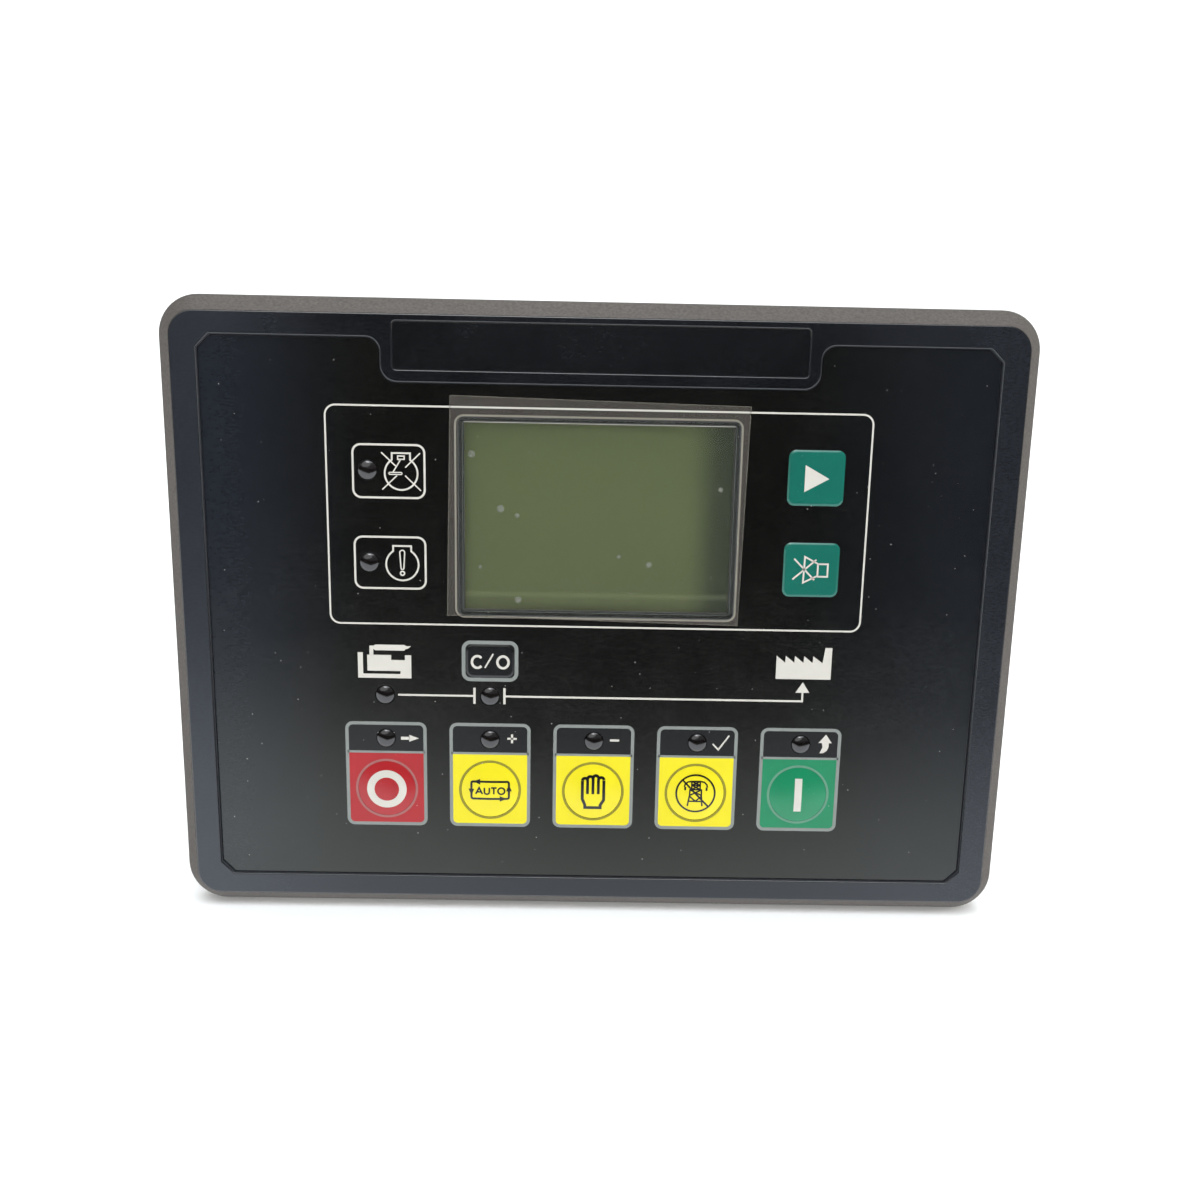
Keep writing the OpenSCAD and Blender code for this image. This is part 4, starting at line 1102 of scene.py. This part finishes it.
# %% Grow the lamp windows
tree, sizes = new_tree("lamp_window", "Radius", "Rise", "Reach")
ball = add(tree, "GeometryNodeMeshUVSphere", {"Segments": 40, "Rings": 24, "Radius": 1.0})
axes = add(tree, "ShaderNodeSeparateXYZ", {0: add(tree, "GeometryNodeInputPosition")})
ahead = add(tree, "FunctionNodeCompare", {0: axes.outputs["Z"], 1: 0.0},
            data_type="FLOAT", operation="GREATER_THAN")
depth = add(tree, "GeometryNodeSwitch",
            {0: ahead, 1: sizes.outputs["Reach"], 2: sizes.outputs["Rise"]}, input_type="FLOAT")
across, along = (add(tree, "ShaderNodeMath", {0: axes.outputs[axis], 1: sizes.outputs["Radius"]},
                     operation="MULTIPLY") for axis in "XY")
out = add(tree, "ShaderNodeMath", {0: axes.outputs["Z"], 1: depth}, operation="MULTIPLY")
back = add(tree, "ShaderNodeMath", {0: out, 1: -1.0}, operation="MULTIPLY")
place = add(tree, "ShaderNodeCombineXYZ", {"X": across, "Y": back, "Z": along})
shaped = add(tree, "GeometryNodeSetPosition", {"Geometry": ball, "Position": place})
dots = add(tree, "GeometryNodeMeshToPoints", {"Mesh": sizes.outputs["Geometry"]})
end_tree(tree, dots, shaped, SMOKED_LENS)

lens_front, lens_back = (corner.y for corner in box_mm("stop_lens"))
seeds = seed_mesh([(u, FACE, v) for u, v in LAMP_AT.values()])
values = {"Radius": LENS_R * MM, "Rise": (FACE - lens_front) * MM, "Reach": (lens_back - FACE) * MM}
lenses = grown("lamp_windows", tree, seeds, values)
settled(lenses, "lens_plastic", *[lamp + "_lens" for lamp in LAMPS])

# %% [markdown]
# ## Pins and screws
# Each terminal pin is a square post with a tapered tip that guides its plug, and each has a printed
# mark beside it. The four cover screws have drafted pan heads with a cross recess, cut with a
# Boolean inside the tree. Both are built upright and then laid along the depth of the case.

# %% Grow the terminal pins
SQUARED, LAID = (0.0, 0.0, math.radians(45)), (math.radians(-90), 0.0, 0.0)
TIP_MM, TIP_SHARE = 1.2, 0.45

tree, sizes = new_tree("terminal_pin", "Side", "Length", "Tip")
corner = add(tree, "ShaderNodeMath", {0: sizes.outputs["Side"], 1: math.sqrt(0.5)},
             operation="MULTIPLY")
narrow = add(tree, "ShaderNodeMath", {0: corner, 1: TIP_SHARE}, operation="MULTIPLY")
shank = add(tree, "ShaderNodeMath", {0: sizes.outputs["Length"], 1: sizes.outputs["Tip"]},
            operation="SUBTRACT")
post = add(tree, "GeometryNodeMeshCone",
           {"Vertices": 4, "Radius Top": corner, "Radius Bottom": corner, "Depth": shank})
tip = add(tree, "GeometryNodeMeshCone", {"Vertices": 4, "Radius Top": narrow,
                                         "Radius Bottom": corner, "Depth": sizes.outputs["Tip"]})
tip_at = add(tree, "ShaderNodeCombineXYZ", {"Z": shank})
tip_on = add(tree, "GeometryNodeTransform", {"Geometry": tip, "Translation": tip_at})
pin = add(tree, "GeometryNodeJoinGeometry", {0: [post, tip_on]})
square = add(tree, "GeometryNodeTransform", {"Geometry": pin, "Rotation": SQUARED})
laid = add(tree, "GeometryNodeTransform", {"Geometry": square, "Rotation": LAID})
dots = add(tree, "GeometryNodeMeshToPoints", {"Mesh": sizes.outputs["Geometry"]})
end_tree(tree, dots, laid, TINNED_PIN)


def ways_of(header):
    """Places of a header's pins along X."""
    low, high = box_mm(header + "_pins")
    side = high.z - low.z
    step = (high.x - low.x - side) / (HEADERS[header] - 1)
    return [low.x + side / 2 + i * step for i in range(HEADERS[header])]


for header in HEADERS:
    low, high = box_mm(header + "_pins")
    seeds = seed_mesh([(u, low.y, (low.z + high.z) / 2) for u in ways_of(header)])
    values = {"Side": (high.z - low.z) * MM, "Length": (high.y - low.y) * MM, "Tip": TIP_MM * MM}
    settled(grown(header + "_pin_row", tree, seeds, values), "tinned_pins", header + "_pins")

# %% Print a mark for each terminal
LEDGE, MARK_FROM, MARK_TO, MARK_LINE, MARK_LIFT = 15.99, 1.2, 3.2, 0.5, -0.03
bm = bmesh.new()
for header in HEADERS:
    low, high = box_mm(header + "_header")
    edge, side = (high.z, 1) if centre(header + "_pins")[1] > 0 else (low.z, -1)
    for u in ways_of(header):
        stroke(bm, [(u, edge + side * MARK_FROM), (u, edge + side * MARK_TO)], MARK_LINE, MARK_LIFT,
               INK_SLOT["white"], level(LEDGE))
settled(finished("terminal_marks", bm, INKS.values()), "cover_plastic")

# %% Grow the cover screws
HEAD_R, HEAD_T, SHANK_R = 2.8, 2.2, 1.5
# Shares of the head's radius: its upper rim, and the length and width of the crossed slots
RIM_SHARE, SLOT_LONG, SLOT_WIDE = 0.8, 1.15, 0.3

tree, sizes = new_tree("cover_screw", "Head radius", "Head height", "Shank radius", "Length")
head_r, head_t, length = (sizes.outputs[name] for name in ("Head radius", "Head height", "Length"))
rim, slot_l, slot_w = (add(tree, "ShaderNodeMath", {0: head_r, 1: share}, operation="MULTIPLY")
                       for share in (RIM_SHARE, SLOT_LONG, SLOT_WIDE))
head = add(tree, "GeometryNodeMeshCone",
           {"Vertices": 40, "Radius Top": rim, "Radius Bottom": head_r, "Depth": head_t})
slot_size = add(tree, "ShaderNodeCombineXYZ", {"X": slot_l, "Y": slot_w, "Z": head_t})
slot_bar = add(tree, "GeometryNodeMeshCube", {"Size": slot_size})
slot_at = add(tree, "ShaderNodeCombineXYZ", {"Z": head_t})
bars = [add(tree, "GeometryNodeTransform", {"Geometry": slot_bar, "Translation": slot_at,
                                            "Rotation": (0.0, 0.0, math.radians(turn))})
        for turn in (0, 90)]
cross = add(tree, "GeometryNodeJoinGeometry", {0: bars})
slotted = add(tree, "GeometryNodeMeshBoolean", {"Mesh 1": head, "Mesh 2": cross},
              operation="DIFFERENCE")
shank = add(tree, "GeometryNodeMeshCylinder",
            {"Vertices": 32, "Radius": sizes.outputs["Shank radius"], "Depth": length})
below = add(tree, "ShaderNodeMath", {0: length, 1: -0.5}, operation="MULTIPLY")
shank_at = add(tree, "ShaderNodeCombineXYZ", {"Z": below})
shank_on = add(tree, "GeometryNodeTransform", {"Geometry": shank, "Translation": shank_at})
screw = add(tree, "GeometryNodeJoinGeometry", {0: [slotted, shank_on]})
laid = add(tree, "GeometryNodeTransform", {"Geometry": screw, "Rotation": LAID})
dots = add(tree, "GeometryNodeMeshToPoints", {"Mesh": sizes.outputs["Geometry"]})
end_tree(tree, dots, laid, ZINC_PLATE)

low, high = box_mm("cover_screws")
seat = high.y - HEAD_T
seeds = seed_mesh([(right * (high.x - HEAD_R), seat, up * (high.z - HEAD_R))
                   for right in (-1, 1) for up in (-1, 1)])
values = {"Head radius": HEAD_R * MM, "Head height": HEAD_T * MM, "Shank radius": SHANK_R * MM,
          "Length": (seat - low.y) * MM}
screws = grown("cover_screw_set", tree, seeds, values, 30.0)
settled(screws, "zinc_screws", "cover_screws")

# %% [markdown]
# ## Bubbles and dust
# A new panel still shows how it was packed: a few air bubbles under the peel-off film, and bright
# specks of dust on the black. They are flattened balls of random size, scattered with a fixed seed
# so that they fall in the same places each time.

# %% Scatter the bubbles and the dust
THICKEST, NO_SHARP_EDGE = 0.04, 180.0
# Density is a number per square metre
BUBBLES = {"Density": 4200.0, "Smallest": 0.2 * MM, "Largest": 1.2 * MM, "Flatness": 0.05,
           "Seed": 4.0}
SPECKS = {"Density": 9000.0, "Smallest": 0.03 * MM, "Largest": 0.13 * MM, "Flatness": 0.5,
          "Seed": 11.0}


def scattered(name, outline, y, values, material):
    """Flattened balls of random size on the area inside an outline."""
    tree, sizes = new_tree(name, *values)
    seed = add(tree, "FunctionNodeFloatToInt", {0: sizes.outputs["Seed"]})
    spots = add(tree, "GeometryNodeDistributePointsOnFaces", {
        "Mesh": sizes.outputs["Geometry"], "Density": sizes.outputs["Density"], "Seed": seed})
    ball = add(tree, "GeometryNodeMeshIcoSphere", {"Radius": 1.0, "Subdivisions": 2})
    size = add(tree, "FunctionNodeRandomValue", {
        2: sizes.outputs["Smallest"], 3: sizes.outputs["Largest"], "Seed": seed},
        data_type="FLOAT").outputs[1]
    thin = add(tree, "ShaderNodeMath", {0: size, 1: sizes.outputs["Flatness"]}, operation="MULTIPLY")
    capped = add(tree, "ShaderNodeMath", {0: thin, 1: THICKEST * MM}, operation="MINIMUM")
    scale = add(tree, "ShaderNodeCombineXYZ", {"X": size, "Y": capped, "Z": size})
    end_tree(tree, spots, ball, material, scale)
    area = seed_mesh([(u, y, v) for u, v in outline], area=True)
    return grown(name, tree, area, values, NO_SHARP_EDGE)


DUST, tree, shader, coords = new_finish("paper_dust", Roughness=0.8)
drift(tree, shader, coords, "#d8d8d2", "#8c8c88", 3.0)
bubbles = scattered("air_bubbles", window_box(-6.0, 2.0), FACE - 0.02, BUBBLES, AIR_BUBBLE)
settled(bubbles, "clear_film")
dust = scattered("dust_specks", inset(recess_outline(FILM_GAP), 3.0), FACE, SPECKS, DUST)
settled(dust, "keypad_film")

# %% [markdown]
# ## Floor, light and room
# A pale floor runs up into a backdrop, and a far wall that only the camera sees closes the other
# sides. The key light comes from the front and above; a weak fill and a side light lift the shadows
# without being mirrored, and a glint is only mirrored. A satin film shows what it mirrors: the sky
# is dark at eye level, dim above that and bright overhead, and its bright lower part stands for the
# table, since the floor is hidden from mirrors. So the film is dark above and lighter below.

# %% Build the floor and backdrop
FLOOR_Z = cad_low.z / MM
SWEEP_Y, SWEEP_R, FAR = 1500.0, 900.0, 9000.0
PAPER_SHADES, PAPER_MM = ("#f6f6f4", "#f2f2f0"), 400.0


def paper_sheet(name, edges, glow):
    """Sheet of pale paper through a row of edges, given in millimetres from the floor."""
    paper, tree, shader, coords = new_finish(name + "_paper", Roughness=0.9, Emission_Strength=glow)
    cloud = add(tree, "ShaderNodeTexNoise", {"Vector": coords, "Scale": per_mm(PAPER_MM)})
    light, dark = (linear(code) for code in PAPER_SHADES)
    pale = add(tree, "ShaderNodeMix", {0: cloud, 6: light, 7: dark}, data_type="RGBA")
    for socket in ("Base Color", "Emission Color"):
        tree.links.new(pale.outputs[2], shader.inputs[socket])
    bm = bmesh.new()
    rows = [[bm.verts.new((x, y, FLOOR_Z + z)) for x, y, z in edge] for edge in edges]
    for a, b in zip(rows, rows[1:]):
        bm.faces.new((a[0], a[1], b[1], b[0]))
    return finished(name, bm, [paper], 60.0)


bend = [(SWEEP_Y + y, SWEEP_R + z) for y, z in arc(0, 0, SWEEP_R, -90, 0, 16)]
profile = [(-FAR, 0.0), (-SWEEP_Y, 0.0), (0.0, 0.0)] + bend + [(SWEEP_Y + SWEEP_R, FAR)]
floor = paper_sheet("floor_sweep", [[(x, y, z) for x in (-FAR, FAR)] for y, z in profile], 0.12)
if floor.data.polygons[0].normal.z < 0:
    floor.data.flip_normals()
floor.visible_glossy = False
floor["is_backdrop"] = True

corners = [(-FAR, FAR), (-FAR, -FAR), (FAR, -FAR), (FAR, FAR)]
far_wall = paper_sheet("far_wall", [[(x, y, z) for z in (0.0, FAR)] for x, y in corners], 1.0)
far_wall.visible_diffuse = far_wall.visible_glossy = far_wall.visible_shadow = False
far_wall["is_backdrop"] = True

# %% Set the lights
def soft_sun(name, strength, spread, direction, lights=True, mirrored=True):
    """Wide light from one direction, which may light surfaces, be mirrored in them, or both."""
    data = bpy.data.lights.new(name, "SUN")
    data.energy = strength
    data.angle = math.radians(spread)
    light = bpy.data.objects.new(name, data)
    light.rotation_euler = Vector(direction).to_track_quat("-Z", "Y").to_euler()
    light.visible_diffuse = lights
    light.visible_glossy = mirrored
    bpy.context.scene.collection.objects.link(light)


soft_sun("key_light", 0.9, 60.0, (0.3, 0.8, -0.75))
soft_sun("fill_light", 0.15, 60.0, (0.0, 1.0, -0.12), mirrored=False)
soft_sun("side_light", 1.6, 40.0, (-0.9, 0.15, -0.35), mirrored=False)
soft_sun("glint_light", 0.6, 22.0, (0.1, 0.47, -0.88), lights=False)
print("lights:", [light.name for light in bpy.data.lights])

# %% Set the sky
# Height in the sky, from 0 below to 1 overhead, and its brightness there
SKY = ((0.272, 1.87), (0.326, 0.012), (0.48, 0.012), (0.52, 0.2), (0.84, 0.3), (0.93, 3.5))
SKY_TINT = (0.95, 1.0, 1.06)
# How far the bands sink towards both sides, and rise to the right
SKY_SAG, SKY_TILT = -0.28, 0.08
BACK_FROM, BACK_FULL, BACK_GREY = 0.1, 0.45, (0.85, 0.85, 0.85, 1.0)

world = bpy.data.worlds.new("studio_room")
bpy.context.scene.world = world
world.use_nodes = True
tree = world.node_tree
tree.nodes.clear()
coords = add(tree, "ShaderNodeTexCoord").outputs["Generated"]
axes = add(tree, "ShaderNodeSeparateXYZ", {0: coords})
aside = add(tree, "ShaderNodeMath", {0: axes.outputs["X"]}, operation="ABSOLUTE")
sagged = add(tree, "ShaderNodeMath", {0: aside, 1: SKY_SAG, 2: axes.outputs["Z"]},
             operation="MULTIPLY_ADD")
tilted = add(tree, "ShaderNodeMath", {0: axes.outputs["X"], 1: SKY_TILT, 2: sagged},
             operation="MULTIPLY_ADD")
rise = add(tree, "ShaderNodeMapRange", {"Value": tilted, "From Min": -1.0, "From Max": 1.0})
bands = add(tree, "ShaderNodeValToRGB", {0: rise})
stops = bands.color_ramp.elements
for i, (height, light) in enumerate(SKY):
    stop = stops[i] if i < 2 else stops.new(height)
    stop.position = height
    stop.color = tuple(light * share for share in SKY_TINT) + (1.0,)
behind = add(tree, "ShaderNodeMapRange",
             {"Value": axes.outputs["Y"], "From Min": BACK_FROM, "From Max": BACK_FULL})
whole = add(tree, "ShaderNodeMix", {0: behind, 6: bands, 7: BACK_GREY}, data_type="RGBA")
glow = add(tree, "ShaderNodeBackground", {"Color": whole.outputs[2], "Strength": 1.0})
add(tree, "ShaderNodeOutputWorld", {"Surface": glow})
bpy.context.scene.view_settings.view_transform = "Standard"
print("sky:", world.name, len(stops), "bands")

# %% [markdown]
# The dressed object must stay inside the CAD model's box.

# %% Print the dressed object's box
low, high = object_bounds()
print("visual box", [round(c, 4) for c in low], [round(c, 4) for c in high])
